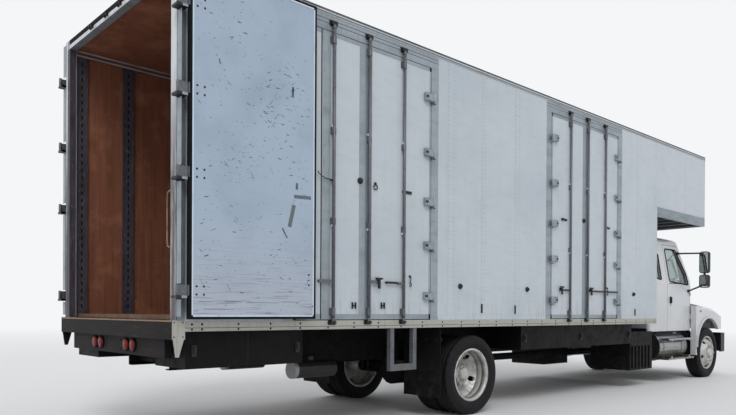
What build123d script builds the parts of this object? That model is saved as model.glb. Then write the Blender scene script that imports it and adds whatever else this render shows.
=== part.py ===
"""A box truck: conventional cab with an extended back, and a long moving-van body with a nose over the cab.

X points forward, Y to the left, Z up, in millimetres. The wheels stand on Z = 0.
Places along the truck are given from the body's rear face, which is at X = rear.
"""
from math import cos, pi, sin, sqrt
import os

from build123d import *

os.makedirs("parts", exist_ok=True)

# Body of the truck
rear = -5680
body_length = 8080
body_width = 2440
body_top = 3870
rail_low = 985
rail_height = 80
cant_height = 60
floor_top = 1110
deck = 35
wall = 40
lining = 15
nose_length = 1840
nose_low = 2664
nose_rail = 146
nose_sill = 70
roof_sheet = 25
post_depth = 22
seat_gap = 0.3
half = body_width / 2
body_front = rear + body_length
nose_front = body_front + nose_length
rail_top = rail_low + rail_height
cant_low = body_top - cant_height
nose_floor = nose_low + nose_sill + deck
bow_gap = 5
ceiling_low = cant_low + bow_gap - seat_gap - lining

# Rear frame and rear doors
frame_depth = 70
post_width = 105
header_height = 90
rear_door_thick = 45
rear_door_width = 1200
rear_door_low = 1080
rear_door_high = 3790
rod_radius = 14
rod_reach = 36
rear_hinge_x = rear - 32
rear_hinge_y = half + 75
rear_hinge_edge = 85
rear_hinge_heights = [1300, 2190, 2820, 3480]
rear_rod_places = [420, 1174]
pin_radius = 8
pin_sides = 12
bar_sides = 16
rod_sides = 8
knuckle_radius = 13
pin_clearance = 0.3
knuckle_half = 40
ear_thick = 20

# Side doors: rear edge, meeting edge and front edge of each opening, from the body's rear face
side_sets = [(1085, 1921, 2842), (5087, 5928, 6819)]
side_post = 110
side_gap = 8
side_header = 130
side_low = rail_top + side_gap
side_high = cant_low - side_header - side_gap
side_hinge_out = 35
side_hinge_heights = [1310, 1830, 2280, 2790, 3360]
side_rod_places = {-1: [400], 1: [30, 500]}
side_pin_in = 14
side_strap = 105
rod_below = 27
rod_above = 72

# Chassis
rear_axle_x = rear + 3585
front_axle_x = rear + 10370
tyre_radius = 445
tyre_width = 250
bead_radius = 286
dual_outer = 1072
dual_inner = 782
disc_offset = 145
disc_root = 54
disc_flat = 180
disc_bore = 60
rim_steel = 9
hub_back = 120
wheel_sides = 24
hand_circle = 228
hand_radius = 30
front_track = 1003
kingpin_y = 820
kingpin_radius = 15
frame_low = 620
frame_high = 880
frame_out = 432
frame_flange = 76
frame_steel = 9
frame_rear = rear + 330
frame_front = rear + 11080

# Cab
cab_back = rear + 8300
door_rear = rear + 8950
door_front = rear + 9830
cab_low = 850
cab_floor = 940
cab_belt = 1640
cab_top = 2430
cab_half = 1010
roof_half = 880
cab_skin = 50
glass_depth = 20
glass_thick = 6
door_gap = 10
cowl_x = rear + 10060
cowl_half = 880
cowl_low = 1330
taper_x = door_front + 30
firewall_x = door_front + 70
firewall_top = 1100
screen_foot = 1580
roof_front = rear + 9430
pillar_radius = 90
bumper_front = rear + 11400
hood_hinge_x = rear + 11270
hood_hinge_z = 800


def save(part, name):
    """Label one finished piece and write it as its own STEP file."""
    part.label = name
    export_step(part, f"parts/{name}.step")


def save_pair(part, stem):
    """Save a piece of the right side, and its mirror image as the left side's."""
    save(part, f"{stem}_right")
    save(mirror(part, about=Plane.XZ), f"{stem}_left")


def block(x0, x1, y0, y1, z0, z1, mode=Mode.ADD):
    """A box between two corners, in the part being built."""
    with Locations(((x0 + x1) / 2, (y0 + y1) / 2, (z0 + z1) / 2)):
        Box(abs(x1 - x0), abs(y1 - y0), abs(z1 - z0), mode=mode)


def bar_x(x0, x1, y, z, radius, sides=bar_sides, mode=Mode.ADD):
    """A bar with flats along X, in the part being built."""
    with BuildSketch(Plane.YZ.offset(x0)) as section:
        with Locations((y, z)):
            RegularPolygon(radius, sides)
    extrude(section.sketch, amount=x1 - x0, mode=mode)


def bar_y(x, y0, y1, z, radius, sides=bar_sides, mode=Mode.ADD):
    """A bar with flats along Y, in the part being built."""
    with BuildSketch(Plane.XZ.offset(-max(y0, y1))) as section:
        with Locations((x, z)):
            RegularPolygon(radius, sides)
    extrude(section.sketch, amount=abs(y1 - y0), mode=mode)


def pin_z(x, y, z0, z1, radius, sides=pin_sides, mode=Mode.ADD):
    """A rod or pin with flats along Z, in the part being built."""
    with BuildSketch(Plane.XY.offset(z0)) as section:
        with Locations((x, y)):
            RegularPolygon(radius, sides)
    extrude(section.sketch, amount=z1 - z0, mode=mode)


def bore_x(x0, x1, y, z, radius):
    """A round hole along X through the part being built."""
    with Locations(((x0 + x1) / 2, y, z)):
        Cylinder(radius, abs(x1 - x0), rotation=(0, 90, 0), mode=Mode.SUBTRACT)


def side_sheet(y, thick, points, mode=Mode.ADD):
    """A flat sheet with an outline in side view, from y towards +Y, in the part being built."""
    with BuildSketch(Plane.XZ.offset(-y - thick)) as outline:
        with BuildLine():
            Polyline(*points, close=True)
        make_face()
    extrude(outline.sketch, amount=thick, mode=mode)


# Ladder frame: two channel rails with cross members, and body runners on top
cab_mounts = [8400, 9600]
cross_members = [420, 2300, 2900, 4300, 5700, 7100, 8500, 10950]
with BuildPart() as chassis_frame:
    with BuildSketch(Plane.YZ.offset(frame_rear)) as channel:
        with BuildLine():
            Polyline(
                (frame_out, frame_low), (frame_out - frame_flange, frame_low),
                (frame_out - frame_flange, frame_low + frame_steel),
                (frame_out - frame_steel, frame_low + frame_steel),
                (frame_out - frame_steel, frame_high - frame_steel),
                (frame_out - frame_flange, frame_high - frame_steel),
                (frame_out - frame_flange, frame_high), (frame_out, frame_high), close=True,
            )
        make_face()
    extrude(amount=frame_front - frame_rear)
    block(rear + 120, body_front - 80, frame_out - frame_flange, frame_out, frame_high, rail_low - seat_gap)
    mirror(about=Plane.XZ)
    inside = frame_out - frame_steel
    for x in cross_members:
        block(rear + x, rear + x + 70, -inside, inside, frame_low + 40, frame_high - 40)
    for x in cab_mounts:
        for y in (-frame_out, frame_out - frame_flange):
            block(rear + x, rear + x + 120, y, y + frame_flange, frame_high, cab_floor - 40 - seat_gap)
save(chassis_frame.part, "chassis_frame")

# Engine: one plain block at its real place and size
with BuildPart() as engine_block:
    block(rear + 10080, rear + 10900, -300, 300, 690, 1230)
    mount_half = frame_out - frame_steel - seat_gap
    block(rear + 10400, rear + 10500, -mount_half, mount_half, 700, 760)
save(engine_block.part, "engine_block")

# Front axle: a forged beam, its kingpin eyes, and leaf springs hung under the frame
beam_z = 400
spring_half = 620
with BuildPart() as front_axle:
    block(front_axle_x - 50, front_axle_x + 50, 0, 600, beam_z - 60, beam_z + 40)
    block(front_axle_x - 35, front_axle_x + 35, 560, kingpin_y, beam_z - 10, beam_z + 100)
    pin_z(front_axle_x, kingpin_y, beam_z - 10, beam_z + 100, 38)
    kingpin_bore = kingpin_radius / cos(pi / pin_sides) + pin_clearance
    pin_z(front_axle_x, kingpin_y, beam_z - 11, beam_z + 101, kingpin_bore, mode=Mode.SUBTRACT)
    block(front_axle_x - spring_half, front_axle_x + spring_half, 345, 425, beam_z + 40, beam_z + 85)
    for end in (-spring_half, spring_half - 60):
        block(front_axle_x + end, front_axle_x + end + 60, 345, 425, beam_z + 85, frame_low)
    mirror(about=Plane.XZ)
save(front_axle.part, "front_axle")

# Rear axle: tube housing with its round centre casing, springs above it and the drive shaft ahead
casing_half = 120
with BuildPart() as rear_axle:
    bar_y(rear_axle_x, 0, dual_inner - hub_back - seat_gap, tyre_radius, 75)
    block(rear_axle_x - 650, rear_axle_x + 650, 480, 560, tyre_radius + 75, tyre_radius + 145)
    block(rear_axle_x - 60, rear_axle_x + 60, 470, 570, tyre_radius, tyre_radius + 75)
    for end in (-650, 560):
        block(rear_axle_x + end, rear_axle_x + end + 90, frame_out + seat_gap, 560, tyre_radius + 145, 780)
    mirror(about=Plane.XZ)
    bar_x(rear_axle_x - casing_half, rear_axle_x + casing_half, 0, tyre_radius, 190)
    bar_x(rear_axle_x + casing_half - 20, rear + 9900, 0, tyre_radius + 60, 50)
save(rear_axle.part, "rear_axle")

# Round fuel tanks under the cab doors, each with its straps and two treads on brackets
tank_rear = rear + 8640
tank_front = rear + 9690
tank_y = 790
tank_z = 590
tank_radius = 240
strap_width = 60
strap_thick = 6
tread_in = 920
tread_out = 1150
tread_thick = 26
tread_heights = [380, 704]
with BuildPart() as fuel_tanks:
    bar_x(tank_rear, tank_front, tank_y, tank_z, tank_radius, wheel_sides)
    for x in (tank_rear + 150, tank_front - 210):
        bar_x(x, x + strap_width, tank_y, tank_z, tank_radius + strap_thick, wheel_sides)
        block(x, x + strap_width, frame_out + seat_gap, tank_y - 120, tank_z + 60, tank_z + 120)
        lower, upper = tread_heights
        block(x, x + strap_width, tank_y + 160, tread_out, lower + tread_thick - 6, lower + tread_thick + 34)
        block(x, x + strap_width, tank_y + 160, tread_out, upper - 14, upper)
    for height in tread_heights:
        block(tank_rear + 60, tank_front, tread_in, tread_out, height, height + tread_thick)
    mirror(about=Plane.XZ)
save(fuel_tanks.part, "fuel_tanks")

# Ribbed black boxes on the frame behind the cab
box_rear = rear + 7500
box_front = rear + 8240
box_out = 1080
rib_pitch = 110
with BuildPart() as battery_boxes:
    block(box_rear, box_front, frame_out + seat_gap, box_out, 270, 860)
    rib_x = box_rear + 60
    while rib_x < box_front - 60:
        block(rib_x, rib_x + 40, box_out, box_out + 20, 300, 640)
        rib_x += rib_pitch
    mirror(about=Plane.XZ)
save(battery_boxes.part, "battery_boxes")

# Air tanks slung outside the frame behind the rear axle, each on a bracket
air_tank_y = 640
air_tank_z = 575
air_tank_radius = 85
with BuildPart() as air_tanks:
    bar_x(rear + 1480, rear + 2000, air_tank_y, air_tank_z, air_tank_radius)
    block(rear + 1700, rear + 1760, frame_out + seat_gap, air_tank_y, air_tank_z + 65, air_tank_z + 125)
    mirror(about=Plane.XZ)
save(air_tanks.part, "air_tanks")

# Front bumper: a deep steel channel that wraps round to the wheels
bumper_low = 440
bumper_high = 790
bumper_rear = rear + 10960
bumper_turn = rear + 11180
bumper_half = 1130
bumper_wall = 50
with BuildPart() as front_bumper:
    with BuildSketch(Plane.XY.offset(bumper_low)) as bumper_plan:
        with BuildLine():
            Polyline(
                (bumper_rear, bumper_half), (bumper_turn, bumper_half - 20), (bumper_front - 20, 760),
                (bumper_front, 500), (bumper_front, 0), (bumper_front - bumper_wall, 0),
                (bumper_front - bumper_wall, 500), (bumper_front - bumper_wall - 18, 740),
                (bumper_turn - 20, bumper_half - bumper_wall), (bumper_rear, bumper_half - 30), close=True,
            )
        make_face()
    extrude(amount=bumper_high - bumper_low)
    bracket_in = frame_out - frame_flange + 10
    block(frame_front + seat_gap, bumper_front - bumper_wall + 5, bracket_in, frame_out, frame_low + 20,
          hood_hinge_z - 40)
    block(hood_hinge_x - 20, hood_hinge_x + 20, bracket_in, frame_out, hood_hinge_z - 40, hood_hinge_z + 20)
    bar_y(hood_hinge_x, bracket_in - 1, frame_out + 1, hood_hinge_z, pin_radius + pin_clearance,
          mode=Mode.SUBTRACT)
    mirror(about=Plane.XZ)
save(front_bumper.part, "front_bumper")

# Sill beam under the rear doors, its recessed under-frame and the corner gussets
hitch_spacing_y = 300
hitch_spacing_z = 90
hitch_z = 848
hitch_hole = 9
under_low = 770
gusset_low = 790
with BuildPart() as rear_sill:
    block(rear - 40, rear + frame_depth - seat_gap, 0, half, rail_low - 60, rail_top + 5)
    block(rear + 10, rear + frame_depth - seat_gap, 0, 1000, under_low, rail_low - 60)
    with BuildSketch(Plane.XZ.offset(-half + 6)) as gusset:
        with BuildLine():
            Polyline((rear - 30, rail_low - 60), (rear + 60, rail_low - 60), (rear + 20, gusset_low),
                     (rear - 10, gusset_low), close=True)
        make_face()
    extrude(amount=6)
    mirror(about=Plane.XZ)
    for y in (-hitch_spacing_y / 2, hitch_spacing_y / 2):
        for z in (hitch_z - hitch_spacing_z / 2, hitch_z + hitch_spacing_z / 2):
            bore_x(rear, rear + 80, y, z, hitch_hole)
save(rear_sill.part, "rear_sill")

# Mud flaps behind the rear wheels, each with its hanger
with BuildPart() as mud_flaps:
    block(rear_axle_x - 560, rear_axle_x - 550, 660, 1200, 230, rail_low - 30)
    block(rear_axle_x - 550, rear_axle_x - 530, frame_out + seat_gap, 1200, 830, 870)
    mirror(about=Plane.XZ)
save(mud_flaps.part, "mud_flaps")

# Hanging step under the rear side doors: a flat-bar frame with one tread
with BuildPart() as side_step:
    for x in (rear + 2270, rear + 2590):
        block(x, x + 50, -1215, -1165, 560, rail_low - seat_gap)
    block(rear + 2320, rear + 2590, -1215, -1165, 560, 625)
save(side_step.part, "side_step")

# Long storage boxes under the body, behind and ahead of the rear wheels
belly_runs = [(110, 1240), (4560, 7400)]
with BuildPart() as belly_boxes:
    for start, end in belly_runs:
        block(rear + start, rear + end, 620, 1150, 690, rail_low - seat_gap)
    mirror(about=Plane.XZ)
save(belly_boxes.part, "belly_boxes")

# Cross sills under the load floor and under the nose
with BuildPart() as cross_sills:
    sill_x = rear + 120
    while sill_x < body_front - 80:
        block(sill_x, sill_x + 50, -half + wall, half - wall, rail_low, floor_top - deck - seat_gap)
        sill_x += 405
    nose_x = body_front + 120
    while nose_x < nose_front - 60:
        block(nose_x, nose_x + 45, -half + wall, half - wall, nose_low + 10, nose_low + nose_sill)
        nose_x += 400
save(cross_sills.part, "cross_sills")

# Load floor boards, and the floor of the nose
with BuildPart() as load_floor:
    room_half = half - wall - lining
    board_half = room_half - post_depth - seat_gap
    room_front = body_front - wall - lining
    block(rear + frame_depth + 25, room_front - seat_gap, -board_half, board_half, floor_top - deck,
          floor_top)
    block(room_front, room_front + nose_length, -room_half, room_half, nose_floor - deck + seat_gap,
          nose_floor)
save(load_floor.part, "load_floor")


def wall_sheets(back, low, high, front, nose_sheet_low, nose_end):
    """Side views of a wall's two sheets: the long one behind, and the nose's just ahead of it."""
    ahead = front + seat_gap
    return [
        [(back, low), (front, low), (front, high), (back, high)],
        [(ahead, nose_sheet_low), (nose_end, nose_sheet_low), (nose_end, high), (ahead, high)],
    ]


wall_points = wall_sheets(rear + frame_depth, rail_top, cant_low, body_front, nose_low + nose_rail,
                          nose_front)

# Left wall: one run of panels and the nose's side
with BuildPart() as wall_left:
    for points in wall_points:
        side_sheet(half - wall, wall, points)
save(wall_left.part, "wall_left")

# Right wall: the panels between and beside the two door openings, and the nose's side
with BuildPart() as wall_right:
    for points in wall_points:
        side_sheet(-half, wall, points)
    for back, meet, front in side_sets:
        block(rear + back - side_post, rear + front + side_post, -half - 1, -half + wall + 1, rail_top - 1,
              cant_low + 1, mode=Mode.SUBTRACT)
save(wall_right.part, "wall_right")

# Aluminium rails along the bottom and top edges, nose rails, and the posts and headers of the side doors
with BuildPart() as body_rails:
    block(rear + frame_depth, body_front, half - wall, half, rail_low, rail_top)
    block(rear + frame_depth, nose_front, half - wall - 15, half, cant_low, body_top)
    block(body_front, nose_front, half - wall, half, nose_low, nose_low + nose_rail)
    mirror(about=Plane.XZ)
    end_half = half - wall - 15 - seat_gap
    rail_half = half - wall - seat_gap
    block(nose_front - wall, nose_front, -rail_half, rail_half, nose_low, nose_low + nose_rail)
    block(nose_front - wall, nose_front, -end_half, end_half, cant_low, body_top)
    for back, meet, front in side_sets:
        block(rear + back + seat_gap, rear + front - seat_gap, -half, wall - half, cant_low - side_header,
              cant_low - seat_gap)
        for edge, turn in ((rear + back, -1), (rear + front, 1)):
            block(edge, edge + turn * side_post, -half, wall - half, rail_top + seat_gap, cant_low - seat_gap)
            for z in side_hinge_heights:
                ear_top = z - knuckle_half - seat_gap
                block(edge, edge + turn * 2 * side_pin_in, -half - side_hinge_out - knuckle_radius - 1, -half,
                      ear_top - ear_thick, ear_top)
                pin_z(edge + turn * side_pin_in, -half - side_hinge_out, ear_top - ear_thick - 1, ear_top + 1,
                      pin_radius + pin_clearance, mode=Mode.SUBTRACT)
save(body_rails.part, "body_rails")

# Front wall below the nose and the nose's own front
with BuildPart() as front_walls:
    block(body_front - wall, body_front, -half + wall, half - wall, rail_low, nose_low)
    block(nose_front - wall, nose_front, -half + wall, half - wall, nose_low + nose_rail, cant_low)
save(front_walls.part, "front_walls")

# Roof sheet between the top rails, with its bows below
with BuildPart() as roof:
    inner_rail = half - wall - 15
    block(rear + frame_depth, nose_front - wall, -inner_rail, inner_rail, body_top - roof_sheet, body_top)
    bow_x = rear + 400
    while bow_x < nose_front - 300:
        block(bow_x, bow_x + 40, -inner_rail, inner_rail, cant_low + bow_gap, body_top - roof_sheet)
        bow_x += 610
save(roof.part, "roof")

# Rear frame: two corner posts, the header and hinge lugs on the posts
with BuildPart() as rear_frame:
    block(rear, rear + frame_depth, half - post_width, half, rail_top + 5, body_top)
    for z in rear_hinge_heights:
        ear_top = z - knuckle_half - seat_gap
        block(rear_hinge_x - 16, rear + 40, half, rear_hinge_y + 16, ear_top - ear_thick, ear_top)
        pin_z(rear_hinge_x, rear_hinge_y, ear_top - ear_thick - 1, ear_top + 1, pin_radius + pin_clearance,
              mode=Mode.SUBTRACT)
    mirror(about=Plane.XZ)
    header_half = half - post_width - seat_gap
    block(rear, rear + frame_depth, -header_half, header_half, body_top - header_height, body_top)
save(rear_frame.part, "rear_frame")

# Plywood lining of both sides, the front and the ceiling, and the floor's edge strips under the posts
inner_half = half - wall
lining_front = body_front - wall
lining_points = wall_sheets(rear + frame_depth, floor_top - deck, cant_low, lining_front, nose_floor,
                            nose_front - wall)
with BuildPart() as wall_lining:
    for points in lining_points:
        side_sheet(inner_half - lining, lining - seat_gap, points)
        side_sheet(-inner_half + seat_gap, lining - seat_gap, points)
    for back, meet, front in side_sets:
        block(rear + back, rear + front, -inner_half - 1, lining + 1 - inner_half, rail_top + 5, cant_low + 1,
              mode=Mode.SUBTRACT)
        block(rear + back + seat_gap, rear + front - seat_gap, -inner_half + seat_gap, -inner_half + lining,
              cant_low - side_header, cant_low)
    ceiling_half = inner_half - lining - seat_gap
    block(lining_front - lining, lining_front - seat_gap, -ceiling_half, ceiling_half, floor_top - deck,
          nose_floor - deck)
    block(rear + frame_depth + seat_gap, nose_front - wall - seat_gap, -ceiling_half, ceiling_half, ceiling_low,
          ceiling_low + lining)
    for side in (-1, 1):
        block(rear + frame_depth + seat_gap, lining_front - lining - seat_gap,
              side * (ceiling_half - post_depth), side * ceiling_half, floor_top - deck, floor_top)
save(wall_lining.part, "wall_lining")

# Slotted load-securing posts on the inside of the walls, and the load-bar rail along the top of each wall
load_post_width = 120
load_rail_height = 62
load_rail_low = ceiling_low - seat_gap - load_rail_height
post_places = {
    1: [72, 560, 1180, 2100, 3050, 4000, 4950, 5900, 6850, 7700],
    -1: [3050, 4000, 4750, 7100, 7700],
}
post_out = inner_half - lining
with BuildPart() as load_posts:
    for side, places in post_places.items():
        for x in places:
            block(rear + x, rear + x + load_post_width, side * (post_out - post_depth), side * post_out,
                  floor_top, load_rail_low - seat_gap)
save(load_posts.part, "load_posts")

with BuildPart() as load_bar:
    for side in (-1, 1):
        block(rear + frame_depth + seat_gap, lining_front - lining - seat_gap, side * (post_out - post_depth),
              side * post_out, load_rail_low, ceiling_low - seat_gap)
save(load_bar.part, "load_bar")


def lock_rod(x, y, low, high, out, below=0, above=0):
    """A lock rod in its guides on a door face at y, on the side out, reaching past its two ends."""
    centre = y + out * (rod_reach - rod_radius)
    pin_z(x, centre, low - below, high + above, rod_radius, rod_sides)
    for z in (low + 60, (2 * low + high) / 3, (low + 2 * high) / 3, high - 60):
        block(x - 24, x + 24, y, centre, z - 30, z + 30)


# Rear doors, folded flat along the sides: panel, lock rods on the face towards the wall, hinge straps
with BuildPart() as rear_door:
    inner_face = -rear_hinge_y - 25
    outer_face = inner_face + rear_door_thick
    edge = rear_hinge_x + rear_hinge_edge
    block(edge, edge + rear_door_width, outer_face, inner_face, rear_door_low, rear_door_high)
    for place in rear_rod_places:
        lock_rod(edge + place, outer_face, rear_door_low + 10, rear_door_high - 10, 1)
    for z in rear_hinge_heights:
        pin_z(rear_hinge_x, -rear_hinge_y, z - knuckle_half - ear_thick, z, pin_radius)
        pin_z(rear_hinge_x, -rear_hinge_y, z - knuckle_half, z + knuckle_half, knuckle_radius)
        block(rear_hinge_x, edge, -rear_hinge_y - 4, -rear_hinge_y - knuckle_radius + 2, z - knuckle_half,
              z + knuckle_half)
save_pair(rear_door.part, "rear_door")

# Side doors: panel with lock rods, hinge leaves and a recessed edge; the hinge side is +1 at the front
for number, (back, meet, front) in enumerate(side_sets):
    for leaf, (hinge, free, turn) in enumerate(((back, meet, -1), (front, meet, 1))):
        name = f"side_door_{2 * number + leaf + 1}"
        with BuildPart() as side_door:
            hinge_x = rear + hinge - turn * side_gap
            free_x = rear + free + turn * side_gap / 2
            block(hinge_x, free_x, -half, -half + wall, side_low, side_high)
            for place in side_rod_places[turn]:
                lock_rod(free_x + turn * place, -half, side_low + 12, side_high - 12, -1, rod_below,
                         rod_above)
            pin_x = rear + hinge + turn * side_pin_in
            pin_y = -half - side_hinge_out
            for z in side_hinge_heights:
                pin_z(pin_x, pin_y, z - knuckle_half - ear_thick, z, pin_radius)
                pin_z(pin_x, pin_y, z - knuckle_half, z + knuckle_half, knuckle_radius)
                strap_end = hinge_x - turn * side_strap
                strap_y = pin_y + pin_radius
                block(pin_x, strap_end, pin_y + 2, strap_y, z - knuckle_half, z + knuckle_half)
                block(hinge_x - turn * 30, strap_end, strap_y, -half, z - knuckle_half, z + knuckle_half)
        save(side_door.part, name)


def cab_form(inset, low, pillars_round=True):
    """The cab's closed outer form: front, side and plan views crossed, drawn in by an inset."""
    with BuildPart(mode=Mode.PRIVATE) as form:
        with BuildSketch(Plane.YZ.offset(cab_back + inset)) as front_view:
            with BuildLine():
                Polyline((-cab_half, low), (cab_half, low), (cab_half, cab_belt), (roof_half, cab_top),
                         (-roof_half, cab_top), (-cab_half, cab_belt), close=True)
            make_face()
            fillet(front_view.vertices().group_by(Axis.Y)[-1], 110)
            if inset:
                offset(amount=-inset)
        extrude(amount=cowl_x - cab_back)
        with BuildSketch(Plane.XZ.offset(-cab_half)) as side_view:
            with BuildLine():
                Polyline((cab_back, low), (cab_back, cab_top - 60), (cab_back + 120, cab_top),
                         (roof_front, cab_top), (roof_front + 190, cab_top - 70), (cowl_x - 40, screen_foot),
                         (cowl_x, cowl_low), (firewall_x, firewall_top), (firewall_x, low), close=True)
            make_face()
            if inset:
                offset(amount=-inset)
        extrude(amount=2 * cab_half, mode=Mode.INTERSECT)
        with BuildSketch(Plane.XY.offset(low)) as plan:
            with BuildLine():
                Polyline((cab_back, -cab_half), (taper_x, -cab_half), (cowl_x, -cowl_half),
                         (cowl_x, cowl_half), (taper_x, cab_half), (cab_back, cab_half), close=True)
            make_face()
            fillet(plan.vertices().group_by(Axis.X)[0], 60)
            if inset:
                offset(amount=-inset)
        extrude(amount=cab_top - low, mode=Mode.INTERSECT)
        if not pillars_round:
            return form.part
        ahead = form.edges().filter_by(lambda e: e.center().X > roof_front + 100)
        pillars = ahead.filter_by(lambda e: e.center().Z > screen_foot and abs(e.tangent_at(0.5).Y) < 0.5)
        fillet(pillars, pillar_radius - inset)
    return form.part


def cab_cut(points, radius, grow=0):
    """A prism across the cab with a rounded outline in side view."""
    with BuildPart(mode=Mode.PRIVATE) as prism:
        with BuildSketch(Plane.XZ.offset(-cab_half - 50)) as outline:
            with BuildLine():
                Polyline(*points, close=True)
            make_face()
            fillet(outline.vertices(), radius)
            if grow:
                offset(amount=grow)
        extrude(amount=2 * cab_half + 100)
    return prism.part


door_points = [
    (door_rear, cab_low), (door_front, cab_low), (door_front, 1650), (rear + 9480, 2300), (door_rear, 2300),
]
window_points = [
    (rear + 9030, 1690), (rear + 9770, 1640), (rear + 9740, 1830), (rear + 9430, 2240), (rear + 9020, 2240),
]
quarter_points = [(rear + 8570, 1720), (rear + 8740, 1700), (rear + 8740, 2130), (rear + 8640, 2130)]


def right_side(form):
    """The part of a form that lies towards the cab's right side."""
    with BuildPart(mode=Mode.PRIVATE) as kept:
        add(form)
        block(cab_back, cowl_x, -cab_half - 50, -cab_half / 2, cab_low - 50, cab_top, mode=Mode.INTERSECT)
    return kept.part


def door_slab(grow):
    """Both doors' walls as one form: the cab's skin inside the door outline."""
    with BuildPart(mode=Mode.PRIVATE) as slab:
        add(cab_form(0, cab_low - grow))
        add(cab_form(cab_skin + grow, cab_low - 300), mode=Mode.SUBTRACT)
        add(cab_cut(door_points, 40, grow), mode=Mode.INTERSECT)
    return slab.part


window_corner = 50
windscreen_half = 810
windscreen_low = 1640
windscreen_high = 2320
pane_gap = 0.3
door_hinge_x = door_front - 8
door_hinge_y = cab_half + 10.5
door_hinge_heights = [1090, 1500]
door_lug = 40
door_pin = 9

# Cab shell: roof, back, sides, floor, pillars and cowl, with its door and window openings cut
with BuildPart() as cab_shell:
    add(cab_form(0, cab_low))
    add(cab_form(cab_skin, cab_floor - cab_skin), mode=Mode.SUBTRACT)
    block(cab_back - 1, rear + 10200, -cab_half + cab_skin, cab_half - cab_skin, cab_low - 10, cab_floor - 40,
          mode=Mode.SUBTRACT)
    block(rear + 9300, rear + 10200, -windscreen_half, windscreen_half, windscreen_low, windscreen_high,
          mode=Mode.SUBTRACT)
    add(door_slab(door_gap), mode=Mode.SUBTRACT)
    add(cab_cut(quarter_points, 30), mode=Mode.SUBTRACT)
    for side in (-1, 1):
        for z in door_hinge_heights:
            leaf = door_front + door_gap
            pin_z(door_hinge_x, side * door_hinge_y, z - door_lug, z, door_pin)
            block(door_hinge_x, leaf + 14, side * (door_hinge_y - 8), side * (door_hinge_y + 7), z - door_lug,
                  z)
            block(leaf + 1, leaf + 14, side * (cab_half - 2), side * door_hinge_y, z - door_lug, z)
save(cab_shell.part, "cab_shell")

# Cab glass that doesn't move: the windscreen and the two quarter windows
with BuildPart(mode=Mode.PRIVATE) as fixed_panes:
    pane_half = windscreen_half - pane_gap
    block(rear + 9300, rear + 10200, -pane_half, pane_half, windscreen_low + pane_gap,
          windscreen_high - pane_gap)
    add(cab_cut(quarter_points, 30, -pane_gap))
with BuildPart(mode=Mode.PRIVATE) as glass_layer:
    add(cab_form(glass_depth, cab_low, False))
    add(cab_form(glass_depth + glass_thick, cab_low - 100, False), mode=Mode.SUBTRACT)
with BuildPart() as cab_glass:
    add(glass_layer.part)
    add(fixed_panes.part, mode=Mode.INTERSECT)
save(cab_glass.part, "cab_glass")

# Dashboard that reaches the cowl's leaning inner face, two seats and the steering wheel
dash_top = 1540
cowl_slope = 40 / (screen_foot - cowl_low)
dash_front = cowl_x - cowl_slope * (dash_top - cowl_low) - cab_skin * sqrt(1 + cowl_slope ** 2) - seat_gap
with BuildPart() as cab_interior:
    block(rear + 9590, rear + 9800, -900, 900, 1230, dash_top + 50)
    block(rear + 9700, dash_front, -740, 740, 1360, dash_top)
    for y in (-500, 500):
        block(rear + 8780, rear + 9260, y - 240, y + 240, cab_floor, 1150)
        block(rear + 8760, rear + 9300, y - 250, y + 250, 1150, 1400)
        block(rear + 8640, rear + 8780, y - 250, y + 250, 1250, 2060)
    with BuildSketch(Plane(origin=(rear + 9430, 500, 1640), z_dir=(-1, 0, 0.55))) as wheel_ring:
        RegularPolygon(225, wheel_sides)
        RegularPolygon(195, wheel_sides, mode=Mode.SUBTRACT)
        Rectangle(400, 40)
        RegularPolygon(60, pin_sides)
    extrude(amount=28)
    with BuildSketch(Plane(origin=(rear + 9430, 500, 1640), z_dir=(1, 0, -0.55))) as column:
        RegularPolygon(35, pin_sides)
    extrude(amount=260)
save(cab_interior.part, "cab_interior")

# Cab doors with their glass and mirrors.
# Mirror heads: centre and height; arms: root and tip on the right side.
# Mirror feet: place, inner and outer face, bottom, top
door_form = door_slab(0)
mirror_x = rear + 9900
mirror_y = 1230
mirror_half = 80
mirror_depth = 75
mirror_heads = [(2040, 380), (1710, 230)]
arm_radius = 14
mirror_arms = [
    ((rear + 9500, -940, 2185), (mirror_x, -mirror_y, 2200)),
    ((rear + 9760, -1022, 1540), (mirror_x, -mirror_y, 1650)),
]
mirror_feet = [(rear + 9500, 924.7, 945, 2160, 2210), (rear + 9760, cab_half + seat_gap, 1026, 1515, 1565)]
with BuildPart() as cab_door:
    add(right_side(door_form))
    add(cab_cut(window_points, window_corner), mode=Mode.SUBTRACT)
    for z in door_hinge_heights:
        pin_z(door_hinge_x, -door_hinge_y, z + seat_gap, z + door_lug, door_pin)
        block(door_hinge_x - 20, door_hinge_x, -cab_half + 2, -door_hinge_y - 4, z + seat_gap, z + door_lug)
save_pair(cab_door.part, "cab_door")

with BuildPart() as door_glass:
    add(right_side(glass_layer.part))
    add(cab_cut(window_points, window_corner, -pane_gap), mode=Mode.INTERSECT)
save_pair(door_glass.part, "door_glass")

with BuildPart() as door_mirror:
    for root, tip in mirror_arms:
        start = Vector(*root)
        end = Vector(*tip)
        with BuildSketch(Plane(origin=start, z_dir=end - start)) as arm:
            RegularPolygon(arm_radius, pin_sides)
        extrude(amount=(end - start).length)
    for x, y0, y1, z0, z1 in mirror_feet:
        block(x - 25, x + 25, -y0, -y1, z0, z1)
    for centre, height in mirror_heads:
        with BuildSketch(Plane.YZ.offset(mirror_x - 20)):
            with Locations((-mirror_y, centre)):
                RectangleRounded(2 * mirror_half, height, 45)
        extrude(amount=mirror_depth)
    block(mirror_x, mirror_x + 20, -mirror_y - 15, -mirror_y + 15, mirror_heads[1][0], mirror_heads[0][0])
save_pair(door_mirror.part, "mirror")

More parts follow.
